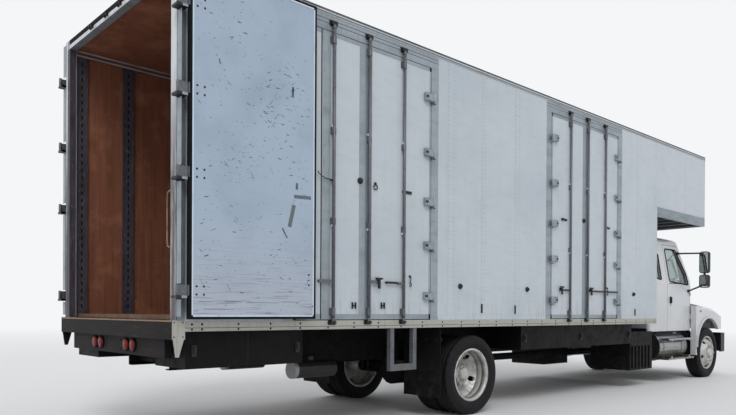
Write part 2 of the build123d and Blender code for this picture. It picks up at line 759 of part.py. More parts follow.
# Hood and front fenders in one shell that tilts forward.
# Sections: place, half width, shoulder height, valley between fender and hood, crown's corner, ridge height
hood_sections = [
    (10075, 1125, 1290, 840, 1345, 640, 1480, 1550),
    (10620, 1135, 1235, 780, 1215, 580, 1395, 1465),
    (11020, 1105, 1145, 740, 1135, 530, 1285, 1350),
    (11190, 1020, 1060, 700, 1080, 490, 1190, 1240),
    (11250, 930, 1000, 660, 1020, 460, 1125, 1175),
]
hood_low = 860
hood_skin = 25
shoulder_bevel = 55
arch_radius = 505
arch_z = 560
arch_sides = 32
lip_width = 30
lip_out = 1150
skirt_low = 420
fender_rear = rear + 9840
fender_in = 1030
fender_out = 1125
fender_top = 1280
hood_rear = rear + hood_sections[0][0]
hood_nose = rear + hood_sections[-1][0]
cowl_hole = (1060, 900, 1320)
hinge_lug = (338, 360)
grille_half = 430
grille_low = 885
grille_high = 1085
lamp_y = 690
lamp_half = 150
lamp_low = 885
lamp_high = 985
lamp_depth = 45


def hood_form(inset):
    """The hood's closed form through its sections, drawn in by an inset."""
    with BuildPart(mode=Mode.PRIVATE) as form:
        for place, side, side_z, valley, valley_z, crown, crown_z, ridge in hood_sections:
            front_cut = inset if rear + place == hood_nose else 0
            with BuildSketch(Plane.YZ.offset(rear + place - front_cut)):
                with BuildLine():
                    edge, shoulder = side - inset, side_z - inset
                    right = [
                        (edge, hood_low - 2 * inset), (edge, shoulder - shoulder_bevel),
                        (edge - shoulder_bevel, shoulder), (valley - inset, valley_z - inset),
                        (crown - inset, crown_z - inset),
                    ]
                    Polyline(*right, (0, ridge - inset), *[(-y, z) for y, z in reversed(right)], close=True)
                make_face()
        loft(ruled=True)
    return form.part


def arch_round(radius, y0, y1, mode):
    """A disc over the wheel arch's centre line between two places across the truck."""
    bar_y(front_axle_x, y0, y1, arch_z, radius, arch_sides, mode)


with BuildPart() as hood:
    add(hood_form(0))
    add(hood_form(hood_skin), mode=Mode.SUBTRACT)
    hole_half, hole_low, hole_high = cowl_hole
    block(hood_rear - 25, hood_rear + 1, -hole_half, hole_half, hole_low, hole_high, mode=Mode.SUBTRACT)
    for side in (-1, 1):
        block(fender_rear, hood_rear + 1, side * (fender_out - 20), side * fender_out, skirt_low, fender_top)
        block(fender_rear, fender_rear + 20, side * fender_in, side * fender_out, skirt_low, fender_top)
        block(fender_rear, hood_rear + 1, side * fender_in, side * fender_out, fender_top - 20, fender_top)
        with BuildPart(mode=Mode.PRIVATE) as lip:
            arch_round(arch_radius + lip_width, side * (fender_out - 25), side * lip_out, Mode.ADD)
            block(fender_rear + 5, front_axle_x, side * 1000, side * 1200, arch_z, fender_top,
                  mode=Mode.INTERSECT)
        with BuildPart(mode=Mode.PRIVATE) as front_lip:
            arch_round(arch_radius + lip_width, side * (fender_out - 25), side * lip_out, Mode.ADD)
            block(front_axle_x, hood_nose, side * 1000, side * 1200, hood_low, fender_top,
                  mode=Mode.INTERSECT)
        add(lip.part)
        add(front_lip.part)
        lug_in, lug_out = hinge_lug
        block(hood_nose - 60, hood_hinge_x + 15, side * lug_in, side * lug_out, hood_hinge_z - 15,
              grille_low + 15)
        bar_y(hood_hinge_x, side * lug_in, side * (frame_out - 17), hood_hinge_z, pin_radius)
    for side in (-1, 1):
        arch_round(arch_radius, side * 700, side * 1300, Mode.SUBTRACT)
    hole_rear, hole_front = hood_nose - 80, hood_nose + 20
    block(hole_rear, hole_front, -grille_half, grille_half, grille_low, grille_high, mode=Mode.SUBTRACT)
    for y in (-lamp_y, lamp_y):
        block(hole_rear, hole_front, y - lamp_half, y + lamp_half, lamp_low, lamp_high, mode=Mode.SUBTRACT)
save(hood.part, "hood")

# Grille: a frame with upright slats and two cross bars that fills the opening in the hood's nose
grille_frame = 30
slat_pitch = 60
slat_width = 14
with BuildPart() as grille:
    frame_half = grille_half - seat_gap
    block(hood_nose - 20, hood_nose + 5, -frame_half, frame_half, grille_low + seat_gap,
          grille_high - seat_gap)
    block(hood_nose - 30, hood_nose + 15, -grille_half + grille_frame, grille_half - grille_frame,
          grille_low + grille_frame, grille_high - grille_frame, mode=Mode.SUBTRACT)
    slats = int((grille_half - grille_frame) / slat_pitch)
    for number in range(-slats, slats + 1):
        y = number * slat_pitch
        block(hood_nose - 18, hood_nose + 3, y - slat_width / 2, y + slat_width / 2, grille_low + 20,
              grille_high - 20)
    for share in (1 / 3, 2 / 3):
        z = grille_low + share * (grille_high - grille_low)
        block(hood_nose - 14, hood_nose, -grille_half + 20, grille_half - 20, z - 6, z + 6)
save(grille.part, "grille")

# Headlamps in the hood's nose
with BuildPart() as headlamps:
    for y in (-lamp_y, lamp_y):
        block(hood_nose - lamp_depth, hood_nose + 8, y - lamp_half + seat_gap, y + lamp_half - seat_gap,
              lamp_low + seat_gap, lamp_high - seat_gap)
save(headlamps.part, "headlamps")


def ring(x, y, rows):
    """A ring of flat facets about the axle line through x. Rows go round its section: radius, place from y."""
    turns = [2 * pi * (side + 0.5) / wheel_sides for side in range(wheel_sides + 1)]
    faces = []
    for row, after in zip(rows, rows[1:] + rows[:1]):
        for turn, following in zip(turns, turns[1:]):
            corners = []
            for (radius, along), angle in ((row, turn), (after, turn), (after, following), (row, following)):
                reach = radius / cos(pi / wheel_sides)
                corners.append((x + reach * cos(angle), y + along, tyre_radius + reach * sin(angle)))
            faces.append(Face(Wire.make_polygon(corners)))
    add(Solid(Shell(faces)))


def both_ways(rows):
    """Half a section's rows, followed by their mirror images from the last back to the first."""
    return rows + [(radius, -along) for radius, along in reversed(rows)]


def tyre_ring(x, y):
    """A tyre centred at y: bore, bead, widest point of the sidewall, shoulder and tread edge."""
    edge = tyre_width / 2
    ring(x, y, both_ways([
        (bead_radius + seat_gap, edge - 30), (bead_radius + 12, edge - 30), (bead_radius + 85, edge),
        (tyre_radius - 9, edge - 18), (tyre_radius, edge - 46),
    ]))


def rim_and_disc(x, y, face):
    """A steel rim centred at y with a dished disc; face is the side towards which the disc stands out."""
    edge = tyre_width / 2 - 30
    ring(x, y, both_ways([
        (bead_radius - rim_steel, edge + 9), (bead_radius + 12, edge + 9), (bead_radius, edge + seat_gap),
    ]))
    ring(x, y, [
        (bead_radius - 5, face * disc_root), (disc_flat, face * disc_offset), (disc_bore, face * disc_offset),
        (disc_bore, face * (disc_offset - 12)), (disc_flat, face * (disc_offset - 12)),
        (bead_radius - 5, face * (disc_root - 14)),
    ])


def hand_holes(x, y):
    """Five holes through the disc around the axle line."""
    with BuildSketch(Plane.XZ.offset(-y)) as holes:
        with Locations((x, tyre_radius)):
            with PolarLocations(hand_circle, 5):
                RegularPolygon(hand_radius, 8)
    extrude(holes.sketch, amount=150, both=True, mode=Mode.SUBTRACT)


# Wheels: the tyres of a body in one node, its rims with the hub in another
with BuildPart() as rear_tyres:
    for y in (dual_outer, dual_inner):
        tyre_ring(rear_axle_x, -y)
save_pair(rear_tyres.part, "tyres_rear")

with BuildPart() as rear_rims:
    rim_and_disc(rear_axle_x, -dual_outer, 1)
    rim_and_disc(rear_axle_x, -dual_inner, -1)
    hand_holes(rear_axle_x, -(dual_outer + dual_inner) / 2)
    bar_y(rear_axle_x, hub_back - dual_inner, 40 - dual_outer, tyre_radius, 100)
    bar_y(rear_axle_x, 40 - dual_outer, -dual_outer - 15, tyre_radius, 70)
save_pair(rear_rims.part, "rims_rear")

with BuildPart() as front_tyre:
    tyre_ring(front_axle_x, -front_track)
save_pair(front_tyre.part, "tyre_front")

with BuildPart() as front_rim:
    rim_and_disc(front_axle_x, -front_track, -1)
    hand_holes(front_axle_x, -front_track - disc_offset)
    bar_y(front_axle_x, 40 - front_track, -front_track - disc_offset - 30, tyre_radius, 85)
save_pair(front_rim.part, "rim_front")

# Steering knuckles: two arms with the kingpin between them, and the stub axle
knuckle_arm = 42
knuckle_out = -kingpin_y - 90
with BuildPart() as knuckle:
    arm_rear, arm_front = front_axle_x - knuckle_arm, front_axle_x + knuckle_arm
    for low, high in ((beam_z + 105, beam_z + 135), (beam_z - 45, beam_z - 15)):
        block(arm_rear, arm_front, knuckle_arm - kingpin_y, knuckle_out, low, high)
    block(arm_rear, arm_front, -kingpin_y - 50, knuckle_out, beam_z - 45, beam_z + 135)
    bar_y(front_axle_x, knuckle_out, 40 + seat_gap - front_track, tyre_radius, 45)
    pin_z(front_axle_x, -kingpin_y, beam_z - 15, beam_z + 105, kingpin_radius)
save_pair(knuckle.part, "knuckle")
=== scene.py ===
"""The looks of a box truck: its finishes, its small fittings and the stage it stands on.

Everything is in metres, in the truck's own frame: X forward, Y to the left, Z up, wheels on Z = 0.
Places along the truck are worked out from REAR, the body's rear face.
"""

from collections import namedtuple
import math
import random

import bmesh
import bpy
from mathutils import Matrix, Vector


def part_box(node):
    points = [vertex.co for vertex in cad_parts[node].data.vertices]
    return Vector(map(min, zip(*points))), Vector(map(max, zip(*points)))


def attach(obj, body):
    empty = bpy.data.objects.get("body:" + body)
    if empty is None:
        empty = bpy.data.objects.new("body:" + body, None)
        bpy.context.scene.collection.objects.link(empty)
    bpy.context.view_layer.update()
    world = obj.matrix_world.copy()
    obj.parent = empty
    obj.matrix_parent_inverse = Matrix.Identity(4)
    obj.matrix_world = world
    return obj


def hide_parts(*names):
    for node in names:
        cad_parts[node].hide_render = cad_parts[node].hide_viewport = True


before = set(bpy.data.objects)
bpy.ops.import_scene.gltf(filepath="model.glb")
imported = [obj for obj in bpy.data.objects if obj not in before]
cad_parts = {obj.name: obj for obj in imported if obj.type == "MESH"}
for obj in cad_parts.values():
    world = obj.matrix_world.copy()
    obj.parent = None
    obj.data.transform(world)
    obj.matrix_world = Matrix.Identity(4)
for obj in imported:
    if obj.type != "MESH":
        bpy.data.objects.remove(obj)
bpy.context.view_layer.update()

bl_info = {
    "name": "Box truck looks",
    "version": (1, 0, 0),
    "blender": (4, 5, 0),
    "location": "3D View > Sidebar > Truck",
    "description": "Builds the finishes, fittings and stage of a box truck around its CAD frame",
    "category": "Object",
}

MM = 0.001
POST_DEPTH = 70 * MM
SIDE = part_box("wall_left")[1].y
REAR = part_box("wall_left")[0].x - POST_DEPTH
RAIL_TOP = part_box("wall_left")[0].z


# Node helpers

def linear(code):
    """An sRGB hex colour as the linear RGBA that Blender's sockets take."""
    channels = [int(code[i:i + 2], 16) / 255 for i in (1, 3, 5)]
    return tuple(c / 12.92 if c <= 0.04045 else ((c + 0.055) / 1.055) ** 2.4 for c in channels) + (1.0,)


def node(tree, kind, inputs=None, **settings):
    """Add a node. settings are its own properties; inputs gives sockets a value or the socket that feeds them."""
    made = tree.nodes.new(kind)
    for key, value in settings.items():
        setattr(made, key, value)
    for key, value in (inputs or {}).items():
        if isinstance(value, bpy.types.NodeSocket):
            tree.links.new(value, made.inputs[key])
        else:
            made.inputs[key].default_value = value
    return made


# A pattern on a surface. size is in millimetres and stretch is how much longer it runs along X, Y and Z;
# the noise between low and high turns into 0 to strength.
Pattern = namedtuple("Pattern", "kind size stretch low high strength detail seed")


def blotches(size, stretch=(1, 1, 1), low=0.45, high=0.65, strength=1.0, detail=3.0, seed=0.0):
    """Soft irregular patches, or streaks where they are stretched."""
    return Pattern("noise", size, stretch, low, high, strength, detail, seed)


def cells(size, stretch=(1, 1, 1), low=0.0, high=0.2, strength=1.0, seed=0.0):
    """Small separate spots, the nearer to a cell's middle the stronger."""
    return Pattern("cells", size, stretch, high, low, strength, 0.0, seed)


def joints(axis, pitch, width, strength=1.0, offset=0.0):
    """Thin lines across an axis, one every pitch millimetres."""
    return Pattern("lines", pitch, axis, width, offset, strength, 0.0, 0.0)


def fade(axis, start, end, strength=1.0):
    """Nothing before start and all past end, in metres along an axis of the truck."""
    return Pattern("fade", 0.0, axis, start, end, strength, 0.0, 0.0)


def facing_up(low=0.3, high=0.9, strength=1.0):
    """Strong where the surface faces up, as where dust settles."""
    return Pattern("up", 0.0, "Z", low, high, strength, 0.0, 0.0)


def mask(tree, pattern):
    """The nodes of a pattern, or of several multiplied together, as a socket from 0 to 1."""
    if isinstance(pattern, list):
        product = mask(tree, pattern[0])
        for other in pattern[1:]:
            product = node(tree, "ShaderNodeMath", {0: product, 1: mask(tree, other)}, operation="MULTIPLY").outputs[0]
        return product
    place = node(tree, "ShaderNodeTexCoord")
    if pattern.kind in ("noise", "cells"):
        shrink = tuple(1 / s for s in pattern.stretch)
        spot = node(tree, "ShaderNodeMapping", {"Vector": place.outputs["Object"], "Scale": shrink,
                                                "Location": (pattern.seed, pattern.seed * 0.7, pattern.seed * 1.3)})
        scale = 1 / (pattern.size * MM)
        if pattern.kind == "noise":
            texture = node(tree, "ShaderNodeTexNoise", {"Vector": spot.outputs[0], "Scale": scale,
                                                        "Detail": pattern.detail, "Roughness": 0.6})
            value = texture.outputs[0]
        else:
            texture = node(tree, "ShaderNodeTexVoronoi", {"Vector": spot.outputs[0], "Scale": scale})
            value = texture.outputs["Distance"]
        low, high = pattern.low, pattern.high
    elif pattern.kind == "up":
        split = node(tree, "ShaderNodeSeparateXYZ", {0: place.outputs["Normal"]})
        value, low, high = split.outputs["Z"], pattern.low, pattern.high
    else:
        split = node(tree, "ShaderNodeSeparateXYZ", {0: place.outputs["Object"]})
        value, low, high = split.outputs[pattern.stretch], pattern.low, pattern.high
        if pattern.kind == "lines":
            pitch, width = pattern.size * MM, pattern.low * MM
            # Ping-pong needs places over 0, so the lines start many pitches behind the truck
            moved = node(tree, "ShaderNodeMath", {0: value, 1: pattern.high - 100 * pitch}, operation="SUBTRACT")
            turned = node(tree, "ShaderNodeMath", {0: moved.outputs[0], 1: pitch}, operation="PINGPONG")
            value, low, high = turned.outputs[0], width, width / 2
    ramp = node(tree, "ShaderNodeMapRange", {"Value": value, "From Min": low, "From Max": high,
                                             "To Max": pattern.strength})
    return ramp.outputs[0]


def finish(name, colour, roughness, layers=(), relief=(), gloss=None, **sockets):
    """A material. layers are (pattern, colour) over the base colour, relief is (pattern, depth in millimetres),
    gloss is (pattern, roughness) where the surface differs, and sockets are the shader's other constants."""
    material = bpy.data.materials.new(name)
    material.use_nodes = True
    tree = material.node_tree
    shader = tree.nodes["Principled BSDF"]
    shader.inputs["Base Color"].default_value = linear(colour)
    shader.inputs["Roughness"].default_value = roughness
    for socket, value in sockets.items():
        shader.inputs[socket.replace("_", " ").title().replace("Ior", "IOR")].default_value = value
    under = linear(colour)
    for pattern, over in layers:
        mix = node(tree, "ShaderNodeMix", {0: mask(tree, pattern), 6: under, 7: linear(over)}, data_type="RGBA")
        under = mix.outputs[2]
    if layers:
        tree.links.new(under, shader.inputs["Base Color"])
    if gloss:
        mix = node(tree, "ShaderNodeMix", {0: mask(tree, gloss[0]), 2: roughness, 3: gloss[1]})
        tree.links.new(mix.outputs[0], shader.inputs["Roughness"])
    for pattern, depth in relief:
        bump = node(tree, "ShaderNodeBump", {"Height": mask(tree, pattern), "Distance": depth * MM})
        if shader.inputs["Normal"].is_linked:
            tree.links.new(shader.inputs["Normal"].links[0].from_socket, bump.inputs["Normal"])
        tree.links.new(bump.outputs[0], shader.inputs["Normal"])
    return material


# Finishes

def painted_sheet():
    """Aluminium sheet with a baked white coat, written grey-blue as painted shade: an even half gloss, a little wavy,
    greyed by road film and streaks.
    """
    return finish("baked_paint_on_sheet", chosen().sheet_colour, 0.42, layers=[
        (blotches(1400), "#AEB8C0"),
        (blotches(60, (3, 3, 1), 0.45, 0.8, 0.3, 2.0), "#A3ABB1"),
        (blotches(40, (1, 1, 30), 0.55, 0.85, 0.25), "#98A0A6"),
        ([blotches(30, (1, 1, 12), 0.52, 0.7), fade("Z", RAIL_TOP + 0.4, RAIL_TOP, 0.5)], "#948C88"),
        (cells(90, high=0.06, strength=0.5), "#7C8084"),
    ], relief=[(blotches(500, detail=1.0, low=0.2, high=0.8), 4.0)], gloss=(blotches(300), 0.55))


def scratched_skin():
    """The coated inner skin of a rear door: chalky blue-white, scuffed by use, with dark nicks and long scratches."""
    return finish("scuffed_coated_skin", "#9DADBF", 0.5, layers=[
        (blotches(700), "#92A2B4"),
        (fade("Z", 1.9, 1.1, 0.6), "#B0B2BB"),
        (blotches(34, (3, 1, 1), 0.66, 0.69, 0.7, 5.0, 3.0), "#6C7480"),
        (blotches(9, (2, 1, 1), 0.68, 0.71, 0.7, 4.0, 7.0), "#59606A"),
        ([blotches(12, (40, 1, 1), 0.55, 0.6, 0.9, 4.0, 5.0), fade("Z", 1.75, 1.15)], "#7C8390"),
        ([blotches(8, (60, 1, 1), 0.6, 0.64, 0.7, 3.0, 9.0), fade("Z", 2.6, 1.4, 0.6)], "#838B98"),
    ], relief=[(blotches(28, (3, 1, 1), 0.6, 0.7, detail=5.0), 1.0)], gloss=(blotches(200), 0.65))


def mill_aluminium():
    """Extruded aluminium left bare outdoors: a dull grey sheen, drawn lengthwise, with dirty run marks."""
    return finish("mill_aluminium_weathered", "#99A2A9", 0.42, layers=[
        (blotches(200, (3, 1, 1)), "#8B949B"),
        (fade("Z", RAIL_TOP + 0.004, RAIL_TOP - 0.002), "#ADABA4"),
        (blotches(14, (1, 1, 10), 0.56, 0.75, 0.6), "#6D7276"),
        (cells(60, high=0.1, strength=0.6), "#5A5B5C"),
        ([fade("X", REAR - 0.0045, REAR - 0.006), fade("Z", RAIL_TOP + 0.04, RAIL_TOP + 0.05)], "#2F3034"),
    ], relief=[(blotches(3, (60, 1, 1)), 0.3)], gloss=(blotches(60, (6, 1, 1)), 0.6), metallic=0.6)


def galvanised_steel():
    """Steel dipped in zinc: mid grey with a broken spangle and a matt bloom."""
    return finish("galvanised_steel", "#696D73", 0.5, layers=[
        (blotches(18, low=0.4, high=0.7), "#595D63"),
        (blotches(120, low=0.5, high=0.8, seed=4.0), "#57534E"),
    ], relief=[(blotches(8), 0.2)], metallic=0.5)


def roof_aluminium():
    """One sheet of bare aluminium stretched over the bows, dulled and dusty."""
    return finish("bare_roof_sheet", "#A4A7A8", 0.5, layers=[
        (blotches(900), "#93928C"),
        (blotches(120, (4, 1, 1), 0.55, 0.8, 0.5), "#77736A"),
    ], relief=[(blotches(700, detail=1.0, low=0.2, high=0.8), 6.0)], metallic=0.6)


def varnished_plywood():
    """Red-brown varnished ply: long grain with darker streaks, joints between sheets and rub marks."""
    return finish("varnished_plywood", "#80503A", 0.42, layers=[
        (blotches(60, (1, 1, 14), 0.35, 0.75, 0.8, 6.0), "#613729"),
        (blotches(9, (1, 1, 60), 0.5, 0.7, 0.5, 4.0), "#4A2B22"),
        (blotches(300, low=0.5, high=0.75, seed=2.0), "#93624A"),
        ([blotches(25, (8, 8, 1), 0.62, 0.68, 0.7, 4.0), fade("Z", 2.4, 1.2)], "#38281F"),
        (joints("X", 1220, 4.0, 0.9, REAR + POST_DEPTH), "#231510"),
    ], relief=[(blotches(7, (1, 1, 40)), 0.3)], gloss=(blotches(150), 0.58))


def worn_floor_boards():
    """Hardwood strips, grey-brown from wear, with dark joints."""
    return finish("worn_hardwood_boards", "#6B4A33", 0.6, layers=[
        (blotches(30, (16, 1, 1), 0.35, 0.75, 0.8, 5.0), "#4C3223"),
        (blotches(240, low=0.45, high=0.7), "#7D6653"),
        (joints("Y", 70, 2.0, 0.9), "#1E140E"),
    ], relief=[(joints("Y", 70, 3.0), -1.0)])


def chassis_paint():
    """Thick black chassis paint: satin, greyed by dust on top and by dried road dirt."""
    return finish("chassis_paint", "#0F0F10", 0.55, layers=[
        (blotches(90, low=0.5, high=0.75, strength=0.6), "#1D1B19"),
        ([facing_up(), blotches(60, low=0.3, high=0.6)], "#35302B"),
        (blotches(22, low=0.68, high=0.73, strength=0.6, seed=6.0), "#211611"),
    ], relief=[(blotches(12), 0.5)], gloss=(blotches(80), 0.75), specular_ior_level=0.12)


def powder_coated_steel():
    """Black powder coat over pressed steel: fine orange peel, drawn coarser than it is to show, a satin sheen, and
    dust near the bottom."""
    return finish("black_powder_coat", "#0E0E10", 0.5, layers=[
        (blotches(160, (1, 1, 3), 0.5, 0.8, 0.6), "#191817"),
        ([fade("Z", 0.8, 0.3), blotches(50)], "#26231F"),
    ], relief=[(blotches(5), 0.15)], gloss=(blotches(120), 0.65), specular_ior_level=0.12)


def rusty_sill_paint():
    """The rear sill's dark paint, worn through by use to brown rust and tan primer."""
    return finish("worn_sill_paint", "#131113", 0.6, layers=[
        (blotches(80, (1, 3, 1), 0.45, 0.65, 0.8), "#211816"),
        (blotches(25, (1, 8, 1), 0.62, 0.7, 0.6, 5.0, 2.0), "#4A3428"),
        ([facing_up(), blotches(40, (1, 4, 1), 0.4, 0.6)], "#8A6E55"),
    ], relief=[(blotches(10, detail=6.0), 0.8)], specular_ior_level=0.15)


def flap_rubber():
    """Sheet rubber: flat black with grey dust that has run down."""
    return finish("sheet_rubber", "#101013", 0.75, layers=[
        (blotches(60, (1, 1, 8), 0.45, 0.8, 0.6), "#1C1B1A"),
        ([fade("Z", 0.7, 0.2), blotches(90)], "#2B2824"),
    ], relief=[(blotches(15), 0.4)], specular_ior_level=0.12)


def tyre_rubber():
    """Moulded tyre rubber: matt blue-black, browned by dust in the tread and on the sidewall."""
    return finish("tyre_rubber", "#151619", 0.72, layers=[
        (blotches(120, low=0.4, high=0.75, strength=0.7), "#201F1E"),
        (blotches(14, low=0.6, high=0.7, strength=0.5, seed=3.0), "#2F2C28"),
    ], relief=[(blotches(6), 0.3)], specular_ior_level=0.2)


def wheel_enamel():
    """Silver-grey enamel on a pressed steel wheel: soft shine, brake dust in the dish and chips of rust."""
    return finish("silver_wheel_enamel", "#C0C0BD", 0.38, layers=[
        (blotches(80, low=0.4, high=0.7), "#9B9A98"),
        (blotches(30, low=0.55, high=0.75, strength=0.7, seed=2.0), "#6A645B"),
        (cells(35, high=0.12, strength=0.8), "#5A3A28"),
    ], relief=[(blotches(8), 0.2)], gloss=(blotches(60), 0.6), metallic=0.3)


def cab_enamel():
    """Two-layer automotive enamel: white under a clear coat, written grey as painted shade, with dust low down."""
    return finish("white_coach_enamel", chosen().cab_colour, 0.35, layers=[
        (blotches(900), "#C2C4C8"),
        ([fade("Z", 1.3, 0.5, 0.6), blotches(70, (1, 1, 3))], "#A39C90"),
        (blotches(18, (1, 1, 6), 0.62, 0.75, 0.35, 4.0), "#9EA0A2"),
    ], coat_weight=0.6, coat_roughness=0.08)


def glazing():
    """Tempered glass with a faint green-grey tint: clear, with sharp reflections."""
    return finish("tempered_glass", "#C6D0CE", 0.02, layers=[
        (blotches(150, low=0.5, high=0.9, strength=0.3), "#B4BBB6"),
    ], transmission_weight=1.0, ior=1.45)


def moulded_plastic():
    """Black moulded ABS with a fine grain, drawn coarser than it is to show: a low even sheen, paler brown-grey on
    faces that look up.
    """
    return finish("moulded_black_abs", "#111213", 0.5, layers=[
        (blotches(70), "#191A1B"),
        ([facing_up(), blotches(40)], "#2D2A27"),
    ], relief=[(blotches(2.5), 0.15)], specular_ior_level=0.35)


def lamp_lens():
    """Clear polycarbonate over a bright reflector, slightly hazed."""
    return finish("clear_polycarbonate", "#D8DCDD", 0.12, layers=[
        (joints("Y", 12, 2.0, 0.35), "#9EA4A8"),
        (blotches(50, low=0.5, high=0.8, strength=0.5), "#C2BFB4"),
    ], coat_weight=1.0, coat_roughness=0.03)


def cast_iron():
    """Rough cast iron with a skin of brown rust."""
    return finish("rusted_cast_iron", "#3A312C", 0.75, layers=[
        (blotches(25, low=0.4, high=0.7), "#52392B"),
        (blotches(9, low=0.55, high=0.7, seed=5.0), "#241E1B"),
    ], relief=[(blotches(6, detail=6.0), 0.6)], metallic=0.2)


def engine_paint():
    """Grey engine paint, oily and dusty."""
    return finish("engine_enamel", "#4C4F50", 0.5, layers=[
        (blotches(60), "#343331"),
        (facing_up(strength=0.6), "#6A6256"),
    ], relief=[(blotches(15), 0.8)])


def polished_tank():
    """Rolled aluminium tank, buffed to a soft mirror, with water marks and dust below."""
    return finish("buffed_tank_aluminium", "#A3A5A9", 0.28, layers=[
        (blotches(60, low=0.45, high=0.8, strength=0.6), "#A09F9C"),
        ([fade("Z", 0.75, 0.35), blotches(40, low=0.35, high=0.6)], "#7B746A"),
    ], relief=[(blotches(3, (60, 1, 1)), 0.1)], gloss=(blotches(50), 0.42), metallic=1.0)


def post_paint():
    """Slotted steel posts in worn grey-violet primer."""
    return finish("steel_post_primer", "#4B4650", 0.5, layers=[
        (blotches(40, (1, 1, 8), 0.45, 0.7), "#38343A"),
        (blotches(12, (1, 1, 5), 0.6, 0.68, 0.8), "#77706C"),
    ], relief=[(blotches(12), 0.3)], metallic=0.4)


def bar_paint():
    """The load rails: anodised channel gone dark and pinkish under dust."""
    return finish("anodised_channel", "#6E5C5A", 0.45, layers=[
        (blotches(40, (8, 1, 1)), "#5A4A49"),
        (blotches(10, (4, 1, 1), 0.6, 0.7, 0.8), "#443736"),
    ], metallic=0.4)


def rail_lip_metal():
    """The load rails' lips: pale, with a pinkish cast, much lighter than the channel."""
    return finish("rubbed_anodised_lip", "#CDBBB8", 0.35, layers=[(blotches(30, (8, 1, 1)), "#A99793")], metallic=0.3)


def grained_vinyl():
    """Grey vinyl and moulded trim inside the cab, with a leather grain, drawn coarser than it is to show."""
    return finish("grained_vinyl", "#3D3F42", 0.6, layers=[
        (blotches(80), "#333538"),
    ], relief=[(cells(4, high=0.5), 0.3)])


def air_tank_paint():
    """Black enamel on a pressed air tank, its rear end dipped in silver paint, scuffed and dusty."""
    silver_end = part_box("air_tanks")[0].x + 0.045
    return finish("air_tank_enamel", "#141416", 0.45, layers=[
        (blotches(50, strength=0.7), "#232221"),
        (fade("X", silver_end + 0.002, silver_end - 0.002), "#8E9092"),
        (blotches(16, low=0.6, high=0.7, strength=0.8, seed=4.0), "#4F4740"),
    ], metallic=0.2)


SLOT_FINISHES = {
    "chassis_black": chassis_paint, "engine_grey": engine_paint, "tank_metal": polished_tank,
    "box_black": powder_coated_steel, "air_tank_grey": air_tank_paint, "bumper_black": moulded_plastic,
    "sill_brown": rusty_sill_paint, "flap_rubber": flap_rubber, "step_grey": galvanised_steel,
    "cross_sill_metal": galvanised_steel, "floor_boards": worn_floor_boards, "white_sheet": painted_sheet,
    "aluminium_rail": mill_aluminium, "roof_sheet": roof_aluminium, "plywood": varnished_plywood,
    "post_metal": post_paint, "bar_metal": bar_paint, "cab_white": cab_enamel, "cab_glass": glazing,
    "interior_grey": grained_vinyl, "door_inner": scratched_skin, "mirror_black": moulded_plastic,
    "grille_black": moulded_plastic, "lamp_clear": lamp_lens, "knuckle_iron": cast_iron,
    "tyre_rubber": tyre_rubber, "wheel_silver": wheel_enamel,
}
made_finishes = {}


def material(build):
    """The material that a finish function builds, made once."""
    if build.__name__ not in made_finishes:
        made_finishes[build.__name__] = build()
    return made_finishes[build.__name__]


# Shape helpers

